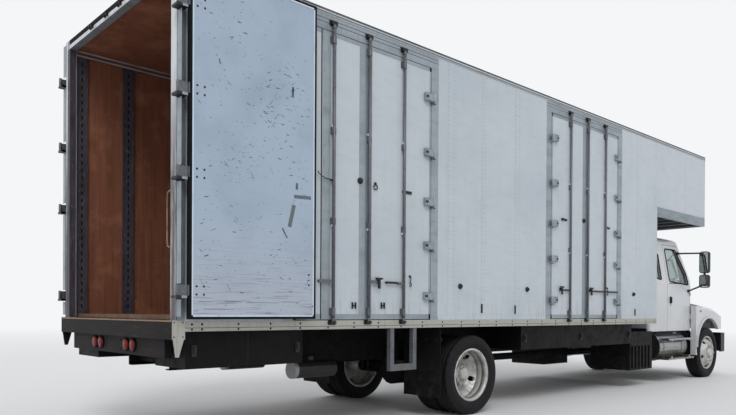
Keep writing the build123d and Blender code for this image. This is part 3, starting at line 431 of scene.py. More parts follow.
class Shape:
    """Points and faces of one piece, gathered from simple forms and turned into one mesh."""

    def __init__(self):
        self.mesh = bmesh.new()

    def faces(self, points, faces, smooth=False):
        made = [self.mesh.verts.new(p) for p in points]
        for corners in faces:
            face = self.mesh.faces.new([made[i] for i in corners])
            face.smooth = smooth

    def box(self, low, high):
        """A box between two corners."""
        (x0, y0, z0), (x1, y1, z1) = [[pick(a, b) for a, b in zip(low, high)] for pick in (min, max)]
        points = [(x, y, z) for x in (x0, x1) for y in (y0, y1) for z in (z0, z1)]
        self.faces(points, [(0, 1, 3, 2), (4, 6, 7, 5), (0, 4, 5, 1), (2, 3, 7, 6), (0, 2, 6, 4), (1, 5, 7, 3)])

    def lathe(self, centre, axis, rows, sides=24, smooth=True, closed=False):
        """A form turned about an axis. rows are (distance along the axis, radius); a radius of 0 ends in a point."""
        axis = Vector(axis).normalized()
        across = axis.orthogonal().normalized()
        other = axis.cross(across)
        points, rings = [], []
        for along, radius in rows:
            start = len(points)
            count = 1 if radius == 0 else sides
            for i in range(count):
                turn = 2 * math.pi * i / sides
                points.append(Vector(centre) + axis * along
                              + radius * (across * math.cos(turn) + other * math.sin(turn)))
            rings.append([start + i for i in range(count)])
        faces = []
        pairs = list(zip(rings, rings[1:])) + ([(rings[-1], rings[0])] if closed else [])
        for first, second in pairs:
            for i in range(sides):
                a, b = first[i % len(first)], first[(i + 1) % len(first)]
                c, d = second[(i + 1) % len(second)], second[i % len(second)]
                corners = [a, b, c, d] if a != b and c != d else ([a, c, d] if a == b else [a, b, c])
                faces.append(corners)
        if not closed:
            faces += [ring[::turn] for ring, turn in ((rings[0], -1), (rings[-1], 1)) if len(ring) > 2]
        self.faces(points, faces, smooth)

    def prism(self, outline, plane, start, end):
        """A flat outline pushed from start to end. plane names its two axes, such as "xz"."""
        axes = ["xyz".index(a) for a in plane]
        third = 3 - sum(axes)
        points = []
        for depth in (start, end):
            for a, b in outline:
                point = [0.0, 0.0, 0.0]
                point[axes[0]], point[axes[1]], point[third] = a, b, depth
                points.append(point)
        n = len(outline)
        faces = [list(range(n)), list(range(2 * n - 1, n - 1, -1))]
        faces += [(i, (i + 1) % n, n + (i + 1) % n, n + i) for i in range(n)]
        self.faces(points, faces)

    def tube(self, path, radius, sides=10):
        """A round bar that follows a path of points."""
        path = [Vector(p) for p in path]
        rings, points = [], []
        across = (path[1] - path[0]).orthogonal().normalized()
        for i, point in enumerate(path):
            before = (point - path[i - 1]).normalized() if i else (path[1] - path[0]).normalized()
            after = (path[i + 1] - point).normalized() if i + 1 < len(path) else before
            along = (before + after).normalized()
            across = (across - along * across.dot(along)).normalized()
            other = along.cross(across)
            widen = 1 / max(0.5, math.cos(before.angle(after) / 2))
            rings.append(range(len(points), len(points) + sides))
            for k in range(sides):
                turn = 2 * math.pi * k / sides
                points.append(point + radius * widen * (across * math.cos(turn) + other * math.sin(turn)))
        faces = [[a[k], a[(k + 1) % sides], b[(k + 1) % sides], b[k]] for a, b in zip(rings, rings[1:])
                 for k in range(sides)]
        faces += [list(rings[0])[::-1], list(rings[-1])]
        self.faces(points, faces, True)

    def dome(self, centre, axis, radius, height, sides=8):
        """A low round head, such as a rivet's."""
        self.lathe(centre, axis, [(0, radius), (height * 0.7, radius * 0.72), (height, 0)], sides)

    def piece(self, name, build, body, slot, replaces=(), bevel=0.0):
        """Turn the shape into an object with a finish, on a body of the truck."""
        bmesh.ops.recalc_face_normals(self.mesh, faces=self.mesh.faces)
        data = bpy.data.meshes.new(name)
        self.mesh.to_mesh(data)
        self.mesh.free()
        made = bpy.data.objects.new(name, data)
        bpy.context.scene.collection.objects.link(made)
        data.materials.append(material(build))
        if bevel:
            rounding = made.modifiers.new("edges", "BEVEL")
            rounding.width, rounding.segments, rounding.limit_method = bevel, 2, "ANGLE"
        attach(made, body)
        if replaces:
            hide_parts(*replaces)
        return made


# Settings that a user would change

class FittingSettings(bpy.types.PropertyGroup):
    """Sizes and colours of the truck's fittings and paint."""
    # The body is white; this default is grey-blue as painted shade
    sheet_colour: bpy.props.StringProperty(
        name="Body colour", description="sRGB hex colour of the body's sheets", default="#B8C0C7")
    # The cab is white; this default is grey as painted shade
    cab_colour: bpy.props.StringProperty(
        name="Cab colour", description="sRGB hex colour of the cab and hood", default="#B9BCC0")
    rivet_radius: bpy.props.FloatProperty(
        name="Rivet radius", description="Radius of a rivet's head", default=5 * MM, unit="LENGTH")
    rivet_height: bpy.props.FloatProperty(
        name="Rivet height", description="How far a rivet's head stands out", default=2 * MM, unit="LENGTH")
    rivet_pitch: bpy.props.FloatProperty(
        name="Rivet pitch", description="Distance between the rivets of a lap", default=48 * MM, unit="LENGTH")
    rod_radius: bpy.props.FloatProperty(
        name="Rod radius", description="Radius of the doors' lock rods", default=14.8 * MM, unit="LENGTH")
    rib_notch: bpy.props.FloatProperty(
        name="Tread notch", description="Depth of the notches in a driven tyre's tread", default=10 * MM, unit="LENGTH")
    skin_marks: bpy.props.IntProperty(
        name="Skin marks", description="How many small marks a rear door's skin has", default=420, min=0)


def chosen():
    """The settings of the fittings, as the scene holds them."""
    return bpy.context.scene.truck_fittings


class StageSettings(bpy.types.PropertyGroup):
    """The stage's colours and lamp levels."""
    floor_colour: bpy.props.StringProperty(
        name="Floor colour", description="sRGB hex colour of the floor", default="#D9DADC")
    floor_radius: bpy.props.FloatProperty(
        name="Floor radius", description="How far the floor reaches", default=90.0, unit="LENGTH")
    sky_level: bpy.props.FloatProperty(
        name="Sky level", description="Strength of the even light from all round", default=0.8)
    key_level: bpy.props.FloatProperty(
        name="Key level", description="Strength of the soft main lamp", default=1.1)
    key_angle: bpy.props.FloatProperty(
        name="Key softness", description="Angle that the main lamp covers", default=math.radians(25), subtype="ANGLE")


# Operators

class TRUCK_OT_finishes(bpy.types.Operator):
    """Give every CAD piece its finish"""
    bl_idname = "truck.finishes"
    bl_label = "Finishes"

    def execute(self, context):
        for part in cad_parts.values():
            for place in part.material_slots:
                place.material = material(SLOT_FINISHES[place.material.name.split(".")[0]])
        return {"FINISHED"}


# The camera, worked out from the photograph: its frame in pixels, focal length, place and turn
PHOTO_WIDTH = 736
PHOTO_HEIGHT = 415
FOCAL_PIXELS = 674.85
HORIZON_PIXELS = 316.0
SENSOR_WIDTH = 36.0
YAW = 0.8301
PITCH = -0.0063
ROLL = 0.0056
CAMERA_PLACE = Vector((REAR - 2.3771, -5.967, 1.1452))
BACKDROP = "#F4F6F8"
# The floor fades into the backdrop between these distances from the middle, and the main lamp shines this way
FLOOR_FADE = (12.0, 40.0)
KEY_AIM = Vector((0.55, 0.65, -0.85))


def sight(tree):
    """1 for rays that show the background: seen by the camera, in a reflection or through glass."""
    path = node(tree, "ShaderNodeLightPath")
    either = node(tree, "ShaderNodeMath", {0: path.outputs["Is Camera Ray"], 1: path.outputs["Is Glossy Ray"]},
                  operation="MAXIMUM")
    return node(tree, "ShaderNodeMath", {0: either.outputs[0], 1: path.outputs["Is Transmission Ray"]},
                operation="MAXIMUM").outputs[0]


class TRUCK_OT_stage(bpy.types.Operator):
    """Build the floor, the sky, the lamps and the camera"""
    bl_idname = "truck.stage"
    bl_label = "Stage"

    def execute(self, context):
        settings = context.scene.truck_stage
        scene = context.scene
        scene.view_settings.view_transform = "Standard"
        self.build_floor(settings)
        self.build_sky(scene, settings)
        self.build_lamp(scene, settings)
        self.build_camera(scene)
        return {"FINISHED"}

    def build_floor(self, settings):
        mesh = bmesh.new()
        bmesh.ops.create_circle(mesh, cap_ends=True, segments=64, radius=settings.floor_radius)
        data = bpy.data.meshes.new("floor")
        mesh.to_mesh(data)
        mesh.free()
        floor = bpy.data.objects.new("floor", data)
        bpy.context.scene.collection.objects.link(floor)
        paint = finish("studio_floor", settings.floor_colour, 0.8)
        data.materials.append(paint)
        tree = paint.node_tree
        place = node(tree, "ShaderNodeTexCoord")
        length = node(tree, "ShaderNodeVectorMath", {0: place.outputs["Object"]}, operation="LENGTH")
        far = node(tree, "ShaderNodeMapRange", {"Value": length.outputs["Value"],
                                                "From Min": FLOOR_FADE[0], "From Max": FLOOR_FADE[1]})
        share = node(tree, "ShaderNodeMath", {0: far.outputs[0], 1: sight(tree)}, operation="MULTIPLY")
        glow = node(tree, "ShaderNodeEmission", {"Color": linear(BACKDROP), "Strength": 1.0})
        mix = node(tree, "ShaderNodeMixShader", {0: share.outputs[0], 1: tree.nodes["Principled BSDF"].outputs[0],
                                                 2: glow.outputs[0]})
        tree.links.new(mix.outputs[0], tree.nodes["Material Output"].inputs["Surface"])

    def build_sky(self, scene, settings):
        world = bpy.data.worlds.new("sky")
        scene.world = world
        world.use_nodes = True
        tree = world.node_tree
        light = tree.nodes["Background"]
        light.inputs["Color"].default_value = (1, 1, 1, 1)
        light.inputs["Strength"].default_value = settings.sky_level
        shown = node(tree, "ShaderNodeBackground", {"Color": linear(BACKDROP), "Strength": 1.0})
        mix = node(tree, "ShaderNodeMixShader", {0: sight(tree), 1: light.outputs[0], 2: shown.outputs[0]})
        tree.links.new(mix.outputs[0], tree.nodes["World Output"].inputs["Surface"])

    def build_lamp(self, scene, settings):
        lamp = bpy.data.lights.new("key", "SUN")
        lamp.energy = settings.key_level
        lamp.angle = settings.key_angle
        key = bpy.data.objects.new("key", lamp)
        key.rotation_euler = KEY_AIM.to_track_quat("-Z", "Y").to_euler()
        scene.collection.objects.link(key)

    def build_camera(self, scene):
        lens = bpy.data.cameras.new("camera")
        lens.sensor_width = SENSOR_WIDTH
        lens.lens = FOCAL_PIXELS / PHOTO_WIDTH * SENSOR_WIDTH
        lens.shift_y = (HORIZON_PIXELS - PHOTO_HEIGHT / 2) / PHOTO_WIDTH
        lens.clip_end = 500.0
        camera = bpy.data.objects.new("camera", lens)
        ahead = Vector((math.cos(YAW) * math.cos(PITCH), math.sin(YAW) * math.cos(PITCH), math.sin(PITCH)))
        right = Vector((math.sin(YAW), -math.cos(YAW), 0.0))
        up = right.cross(ahead)
        right, up = (right * math.cos(ROLL) + up * math.sin(ROLL), up * math.cos(ROLL) - right * math.sin(ROLL))
        turn = Matrix((right, up, -ahead)).transposed().to_4x4()
        camera.matrix_world = Matrix.Translation(CAMERA_PLACE) @ turn
        scene.collection.objects.link(camera)
        scene.camera = camera


# Fittings: their places along the truck are from REAR, as measured on the photograph

CANT_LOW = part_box("wall_left")[1].z
RAIL_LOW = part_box("body_rails")[0].z
RAIL_START = REAR + 0.072
BODY_FRONT = REAR + 8.08
NOSE_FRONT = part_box("body_rails")[1].x
NOSE_LOW = RAIL_LOW + 1.679
NOSE_RAIL = 0.146
REAR_AXLE = 3.585
FRONT_AXLE = 10.370
SIDES = (-1, 1)
SIDE_NAMES = ((-1, "right"), (1, "left"))
RIGHT = Vector((0, -1, 0))
# The two pairs of side doors: where each pair's opening starts and ends
DOOR_SETS = [(0.985, 2.942), (4.987, 6.919)]


def at(place):
    """A place along the truck, measured from the body's rear face."""
    return REAR + place


def steps(start, end, pitch):
    """Evenly spaced places from start to end."""
    count = max(1, int((end - start) / pitch))
    return [start + (end - start) * i / count for i in range(count + 1)]


def side_box(shape, side, sizes, base=0.0):
    """A box on one side of the truck, from ends along, depths out from a base and heights."""
    x0, x1, y0, y1, z0, z1 = sizes
    shape.box((at(x0), side * (base + y0), z0), (at(x1), side * (base + y1), z1))


def painted_rivets():
    """Rivet heads under the same paint as the sheet, each head darker grey all over, as dirt and painted shade round
    it.
    """
    return finish("painted_rivet_heads", "#868D94", 0.45, layers=[(blotches(40), "#747A80")])


def dark_steel():
    """Blackened bolts and castings: dull, with brown rust in the hollows."""
    return finish("blackened_steel", "#26262A", 0.5, layers=[
        (blotches(12, low=0.5, high=0.7), "#3C302A"),
    ], relief=[(blotches(4), 0.2)], metallic=0.5)


def worn_frame_enamel():
    """The rear frame's brushed white enamel: bright near the top, turning dark grey from 3 m down to 2.2 m, with brown
    flecks.
    """
    return finish("worn_frame_enamel", "#CDD0D3", 0.5, layers=[
        (blotches(60, (1, 1, 5)), "#B8BBBD"),
        ([fade("Z", 3.0, 2.2), blotches(50, (1, 1, 9), 0.2, 0.5)], "#5C575B"),
        (blotches(14, low=0.66, high=0.7, strength=0.8, seed=2.0), "#6B5A4C"),
    ], relief=[(blotches(10, (1, 1, 4)), 0.3)], specular_ior_level=0.3)


def pale_edge_paint():
    """The pale blue-white lip round a rear door's skin."""
    return finish("pale_door_edge", "#C3D0DD", 0.45, layers=[(blotches(40, (1, 1, 6), 0.5, 0.75), "#A5B2C0")])


def seal_rubber():
    """Extruded door seal: soft black rubber, dusty along the lip."""
    return finish("extruded_seal_rubber", "#131316", 0.8, layers=[
        (blotches(50, (1, 1, 6), 0.55, 0.8, 0.4), "#2B2A29"),
    ], specular_ior_level=0.15)


def cloth_tape():
    """Cloth tape stuck on the skin: dark olive grey, wrinkled, paler at its edges."""
    return finish("dark_cloth_tape", "#5F6B6C", 0.65, layers=[(blotches(12), "#4E595B")], relief=[(blotches(6), 0.2)])


def scuff_marks():
    """Rubber and paint rubbed off onto the skin: thin, flat, slate grey."""
    return finish("rubbed_off_marks", "#454D59", 0.6, layers=[(blotches(15), "#5C6571")])


def tan_bar_paint():
    """A thin hand bar with its paint rubbed down to tan primer."""
    return finish("rubbed_tan_paint", "#8C6F58", 0.5, layers=[(blotches(20, (1, 1, 4)), "#5E4636")])


def rail_white_line():
    """The white painted bead along the top rail."""
    return finish("white_rail_bead", "#D4D8DB", 0.45, layers=[(blotches(90, (8, 1, 1)), "#BFC3C6")])


def rail_shadow_line():
    """Painted shadow lines in a dark grey, under the rails' beads, at the top rail's joints and over the side doors."""
    return finish("roof_joint_sealant", "#3D3E42", 0.7, layers=[(blotches(60, (6, 1, 1)), "#57544F")])


def red_lens():
    """Red acrylic lamp lens with a moulded pattern of small prisms."""
    return finish("red_acrylic_lens", "#6E0505", 0.3, layers=[(cells(9, high=0.5, strength=0.5), "#450303")],
                  relief=[(cells(9, high=0.5), 0.1)], specular_ior_level=0.2)


def amber_lens():
    """Amber acrylic lamp lens with a moulded pattern of small prisms."""
    return finish("amber_acrylic_lens", "#C2670F", 0.15, layers=[(cells(9, high=0.5, strength=0.5), "#8A4406")],
                  relief=[(cells(9, high=0.5), 0.6)], coat_weight=1.0)


def mirror_silver():
    """Silvered mirror glass: sharp, with a little dust."""
    return finish("silvered_mirror_glass", "#D8DCDD", 0.04, layers=[
        (blotches(60, low=0.6, high=0.9, strength=0.3), "#B9BCBA"),
    ], metallic=1.0)


# Each lap of two wall sheets: its two columns of rivets, on the right wall and on the left
LAPS = {
    -1: [(3.119, 3.202), (3.704, 3.746), (4.334, 4.400), (7.408, 7.478), (8.03, 8.10), (9.10, 9.16)],
    1: [(0.61 + 1.22 * i, 0.67 + 1.22 * i) for i in range(8)],
}
LAP_OUT = 1.5 * MM
LAP_MARGIN = 16 * MM
# The runs of wall that don't open, on each side, and the strips along their foot: how far out, and their top
RUNS = {-1: [(0.08, 0.975), (2.952, 4.977), (6.929, 8.08)], 1: [(0.08, 8.08)]}
FOOT_STRIPS = ((1.2 * MM, 1.136), (3 * MM, 1.099))
FOOT_RIVETS = 1.118
EDGE_PITCH = 61 * MM
EDGE_INSET = 30 * MM
RIVET_SIDES = 6
NOSE_COLUMNS = (-1.19, -0.61, -0.55, 0.55, 0.61, 1.19)


class TRUCK_OT_sheet_fastenings(bpy.types.Operator):
    """Lap the wall sheets over each other and rivet them to their posts and rails"""
    bl_idname = "truck.sheet_fastenings"
    bl_label = "Sheet laps and rivets"

    def execute(self, context):
        pitch, radius, height = chosen().rivet_pitch, chosen().rivet_radius, chosen().rivet_height
        for side, name in SIDE_NAMES:
            face = side * SIDE
            laps = Shape()
            heads = []
            for columns in LAPS[side]:
                first, last = [at(place) for place in columns]
                low = RAIL_TOP if last < BODY_FRONT else NOSE_LOW + NOSE_RAIL
                laps.box((first - LAP_MARGIN, face, low + 2 * MM), (last + LAP_MARGIN, face + side * LAP_OUT, CANT_LOW))
                heads += [(x, LAP_OUT, z) for x in (first, last) for z in steps(low + 0.075, CANT_LOW - 0.03, pitch)]
            for start, end in RUNS[side]:
                for out, top in FOOT_STRIPS:
                    laps.box((at(start), face, RAIL_TOP), (at(end), face + side * out, top))
                places = steps(at(start) + EDGE_INSET, at(end) - EDGE_INSET, EDGE_PITCH)
                heads += [(x, FOOT_STRIPS[0][0], FOOT_RIVETS) for x in places]
            heads += [(x, 0.0, CANT_LOW - 0.014) for x in steps(at(0.1), NOSE_FRONT - 0.04, EDGE_PITCH)]
            heads += [(x, 0.0, NOSE_LOW + 0.162) for x in steps(BODY_FRONT + EDGE_INSET, NOSE_FRONT - 0.04, EDGE_PITCH)]
            heads += [(NOSE_FRONT - EDGE_INSET, 0.0, z) for z in steps(NOSE_LOW + 0.18, CANT_LOW - 0.03, pitch)]
            rivets = Shape()
            for x, out, z in heads:
                rivets.dome((x, face + side * out, z), (0, side, 0), radius, height, RIVET_SIDES)
            laps.piece(f"sheet_laps_{name}", painted_sheet, "root", "white_sheet")
            rivets.piece(f"wall_rivets_{name}", painted_rivets, "root", "white_sheet")
        front = Shape()
        for y in NOSE_COLUMNS:
            for z in steps(NOSE_LOW + 0.17, CANT_LOW - 0.02, pitch):
                front.dome((NOSE_FRONT - height, y, z), (1, 0, 0), radius, height * 0.95, RIVET_SIDES)
        front.piece("nose_rivets", painted_rivets, "root", "white_sheet")
        return {"FINISHED"}


# Bands along the rails: which kind, lower and upper edge, how far it stands out in millimetres, and its front end. The
# joint bands are painted shadow lines
RAIL_BANDS = [
    ("bead", 1.0145, 1.0195, 2.5, BODY_FRONT), ("bead", RAIL_LOW, RAIL_LOW + 0.006, 3, BODY_FRONT),
    ("joint", 1.0100, 1.0145, 1, BODY_FRONT), ("white", 3.838, 3.845, 4, NOSE_FRONT),
    ("bead", 3.812, 3.830, 2, NOSE_FRONT), ("joint", 3.854, 3.869, 2, NOSE_FRONT),
    ("joint", 3.8305, 3.8375, 1, NOSE_FRONT),
]
RAIL_BOLTS = [at(0.128), at(0.215)] + steps(at(0.541), BODY_FRONT - 0.06, 0.305)
BOLT_ROWS = (1.040, 1.000)
# Painted shadow lines across the header over each pair of side doors
HEADER_LINES = (3.742, 3.776)
NOSE_RIBS = 6
RIB_PITCH = 24 * MM


class TRUCK_OT_rail_fittings(bpy.types.Operator):
    """Add the bolts and beads of the bottom rail, the bands of the top rail and the ribs of the nose rail"""
    bl_idname = "truck.rail_fittings"
    bl_label = "Rail fittings"

    def execute(self, context):
        bolts, ribs = Shape(), Shape()
        bands = {kind: Shape() for kind in ("bead", "white", "joint")}
        for side in SIDES:
            face = side * SIDE
            for kind, low, high, out, front in RAIL_BANDS:
                bands[kind].box((RAIL_START, face, low), (front, face + side * out * MM, high))
            for x in RAIL_BOLTS:
                for z in BOLT_ROWS:
                    bolts.dome((x, face, z), (0, side, 0), 10 * MM, 4 * MM)
            for i in range(NOSE_RIBS):
                z = NOSE_LOW + 0.012 + i * RIB_PITCH
                ribs.box((BODY_FRONT, face, z), (NOSE_FRONT, face + side * 3 * MM, z + 8 * MM))
            for x in steps(BODY_FRONT + 0.05, NOSE_FRONT - 0.05, 0.3):
                bolts.dome((x, face + side * 3 * MM, NOSE_LOW + 0.04), (0, side, 0), 7 * MM, 3 * MM)
        for start, end in DOOR_SETS:
            for z in HEADER_LINES:
                bands["joint"].box((at(start), -SIDE, z), (at(end), -SIDE - 1.5 * MM, z + 4 * MM))
        bolts.piece("rail_bolts", dark_steel, "root", "post_metal")
        bands["bead"].piece("rail_beads", mill_aluminium, "root", "aluminium_rail")
        bands["white"].piece("top_rail_white_bead", rail_white_line, "root", "white_sheet")
        # Painted shadow lines under the beads, at the top rail's joints and over the side doors
        bands["joint"].piece("rail_painted_shadow_lines", rail_shadow_line, "root", "post_metal")
        ribs.piece("nose_rail_ribs", mill_aluminium, "root", "aluminium_rail")
        return {"FINISHED"}


# Side doors: rods with their guides, and the small fittings on the leaves

ROD_OUT = 22 * MM
GUIDE_REACH = 38 * MM
GUIDE_HALF = 32 * MM
# A guide that reaches less far than this has no room for its bolts
BOLTED_REACH = 34 * MM
# How much wider than the rod its collars and end cams are, and how tall; a collar sits just over its guide
COLLAR_WIDER, COLLAR_TALL, COLLAR_ABOVE = 3 * MM, 8 * MM, 34 * MM
CAM_WIDER, CAM_TALL = 2 * MM, 30 * MM


def saddle(shape, x, z, face, out, radius, reach):
    """A pressed guide over a rod on a face, with flanges that reach to each side. out is the way it stands out."""
    arch = radius + 4 * MM
    half = [(-reach, 0), (-reach, 0.004), (-arch, 0.004), (-arch * 0.9, ROD_OUT + arch * 0.45),
            (-arch * 0.4, ROD_OUT + arch * 0.93)]
    outline = half + [(-a, b) for a, b in reversed(half)]
    shape.prism([(x + a, face + out * b) for a, b in outline], "xy", z - GUIDE_HALF, z + GUIDE_HALF)
    for a in (-0.028, 0.028) if reach > BOLTED_REACH else ():
        for dz in (-0.018, 0.018):
            shape.dome((x + a, face + out * 0.004, z + dz), (0, out, 0), 5 * MM, 3 * MM)


def rod_and_guides(shape, x, face, out, low, high, guides, reach):
    """One lock rod with its guides at the heights given, the collars beside them and the cams on its ends."""
    centre, radius = face + out * ROD_OUT, chosen().rod_radius
    collar, cam = radius + COLLAR_WIDER, radius + CAM_WIDER
    shape.tube([(x, centre, low), (x, centre, high)], radius, 16)
    for z in guides:
        saddle(shape, x, z, face, out, radius, reach)
        shape.lathe((x, centre, z + COLLAR_ABOVE), (0, 0, 1), [(0, collar), (COLLAR_TALL, collar)], 16, False)
    for end, turn in ((low, 1), (high, -1)):
        shape.lathe((x, centre, end), (0, 0, turn), [(-1 * MM, cam), (CAM_TALL, cam)], 12, False)


def rubber_stop(shape, x, z):
    """A round rubber stop on a plate."""
    shape.lathe((x, -SIDE, z), RIGHT, [(0, 0.030), (0.012, 0.030), (0.016, 0.020), (0.030, 0.018), (0.034, 0)], 20)


def ring_pull(shape, x, z):
    """A ring that hangs from a small block."""
    turns = [2 * math.pi * i / 20 for i in range(21)]
    shape.tube([(x + 0.024 * math.cos(a), -SIDE - 0.010, z + 0.024 * math.sin(a)) for a in turns], 5 * MM, 8)
    shape.box((x - 0.012, -SIDE, z + 0.018), (x + 0.012, -SIDE - 0.012, z + 0.045))


def bar_guide(shape, x, z):
    """A flat bar with one end bent out and a bolt."""
    shape.box((x - 0.085, -SIDE, z - 0.014), (x + 0.045, -SIDE - 0.010, z + 0.014))
    shape.box((x - 0.085, -SIDE - 0.010, z - 0.014), (x - 0.060, -SIDE - 0.030, z + 0.014))
    shape.dome((x + 0.020, -SIDE - 0.010, z), RIGHT, 6 * MM, 4 * MM)


def hasp_keeper(shape, x, z):
    """Two upright lugs with a bar between them."""
    for dx in (-0.023, 0.015):
        shape.box((x + dx, -SIDE, z - 0.030), (x + dx + 0.008, -SIDE - 0.018, z + 0.030))
    shape.box((x - 0.023, -SIDE, z - 0.005), (x + 0.023, -SIDE - 0.012, z + 0.005))


def tee_handle(shape, x, z):
    """A T-shaped handle on a short stem."""
    outline = [(-0.045, 0.032), (-0.045, 0.048), (0.045, 0.048), (0.045, 0.032),
               (0.014, 0.026), (0.014, -0.058), (-0.014, -0.058), (-0.014, 0.026)]
    shape.prism([(x + a, z + b) for a, b in outline], "xz", -SIDE - 0.030, -SIDE - 0.044)
    shape.box((x - 0.010, -SIDE, z - 0.010), (x + 0.010, -SIDE - 0.032, z + 0.030))


def bent_hook(shape, x, z):
    """A bent wire hook that hangs from a stud."""
    path = [(0, 0.055), (0.004, 0.020), (-0.010, 0.0), (0.010, -0.022), (0.002, -0.045), (-0.016, -0.040)]
    shape.tube([(x + a, -SIDE - 0.016, z + b) for a, b in path], 5 * MM, 8)
    shape.dome((x, -SIDE, z + 0.055), RIGHT, 0.014, 0.018, 10)


# Each leaf's body, hinge edge, free edge and the side its hinges are on, and its lock rods
Leaf = namedtuple("Leaf", "body hinge free turn rods")
LEAVES = [
    Leaf("root", 1.085, 1.917, -1, [1.517]), Leaf("side_door_2", 2.842, 1.925, 1, [1.955, 2.425]),
    Leaf("side_door_3", 5.087, 5.924, -1, [5.524]), Leaf("side_door_4", 6.819, 5.932, 1, [5.962, 6.432]),
]
LEAF_LOW, LEAF_HIGH = 1.073, 3.672
ROD_LOW, ROD_HIGH = 1.058, 3.732
ROD_GUIDES = (LEAF_LOW + 0.072, LEAF_HIGH - 0.072)
# Pads between a rod and its leaf: half width, half height and the distance that sets how many there are
ROD_PAD = (24.5 * MM, 30.5 * MM)
PAD_PITCH = 0.8
# The keepers at a rod's two ends: lower and upper edge, half width and how far out, and the same for their plates
ROD_KEEPERS = ((1.036, ROD_LOW - 4 * MM), (ROD_HIGH + 4 * MM, 3.768))
KEEPER_SIZE, PLATE_SIZE, PLATE_MARGIN = (34 * MM, 30 * MM), (44 * MM, 5 * MM), 12 * MM
SIDE_HINGES = [1.31, 1.83, 2.28, 2.79, 3.36]
HINGE_HALF = 40.5 * MM
PIN_HALF = 40.2 * MM
STRAP_LENGTH = 0.109
# The leaf's own edge is this far inside the opening's; its hinge pins stand beyond the opening's edge and out
LEAF_CLEAR = 8 * MM
SIDE_PIN = (14 * MM, 35 * MM)
# What shows of the first leaf beside the stored rear door: a dark line and a bright strip
FIRST_LEAF_LINE = (1.382, 1.392)
FIRST_LEAF_STRIP = (1.400, 1.490)
# Small fittings on the leaves: body, kind, place and height
LEAF_FITTINGS = [
    ("root", rubber_stop, 1.849, 2.376), ("root", hasp_keeper, 1.777, 1.203),
    ("side_door_2", ring_pull, 2.045, 2.341), ("side_door_2", bar_guide, 2.500, 2.344),
    ("side_door_2", hasp_keeper, 2.150, 1.206), ("side_door_2", tee_handle, 2.074, 1.425),
    ("side_door_2", bent_hook, 2.530, 1.448), ("side_door_3", tee_handle, 5.303, 1.439),
    ("side_door_3", bar_guide, 5.411, 2.351), ("side_door_3", rubber_stop, 5.873, 2.382),
    ("side_door_4", tee_handle, 6.040, 1.442), ("side_door_4", bar_guide, 6.530, 2.341),
    ("side_door_4", bent_hook, 6.511, 1.442),
]
# Lock bars beside a handle: body, ends, height and whether the bar is bare zinc or black
LOCK_BARS = [
    ("side_door_2", 1.955, 2.095, 1.431, True), ("side_door_2", 2.180, 2.330, 1.431, False),
    ("side_door_2", 2.342, 2.412, 1.425, True), ("side_door_4", 5.962, 6.790, 1.442, False),
    ("side_door_3", 5.303, 5.524, 1.439, False), ("root", 1.345, 1.500, 1.419, True),
]
# The hook that holds the stored rear door: points along and up
DOOR_HOOK = [(1.328, 2.392), (1.336, 2.375), (1.372, 2.352), (1.420, 2.336), (1.500, 2.334)]
# Round rubber stops and short upright catches on the wall itself
WALL_STOPS = [(3.314, 1.427), (4.572, 1.427), (7.305, 1.427)]
WALL_CATCHES = [(3.694, 1.190), (4.328, 1.180), (7.354, 1.160)]


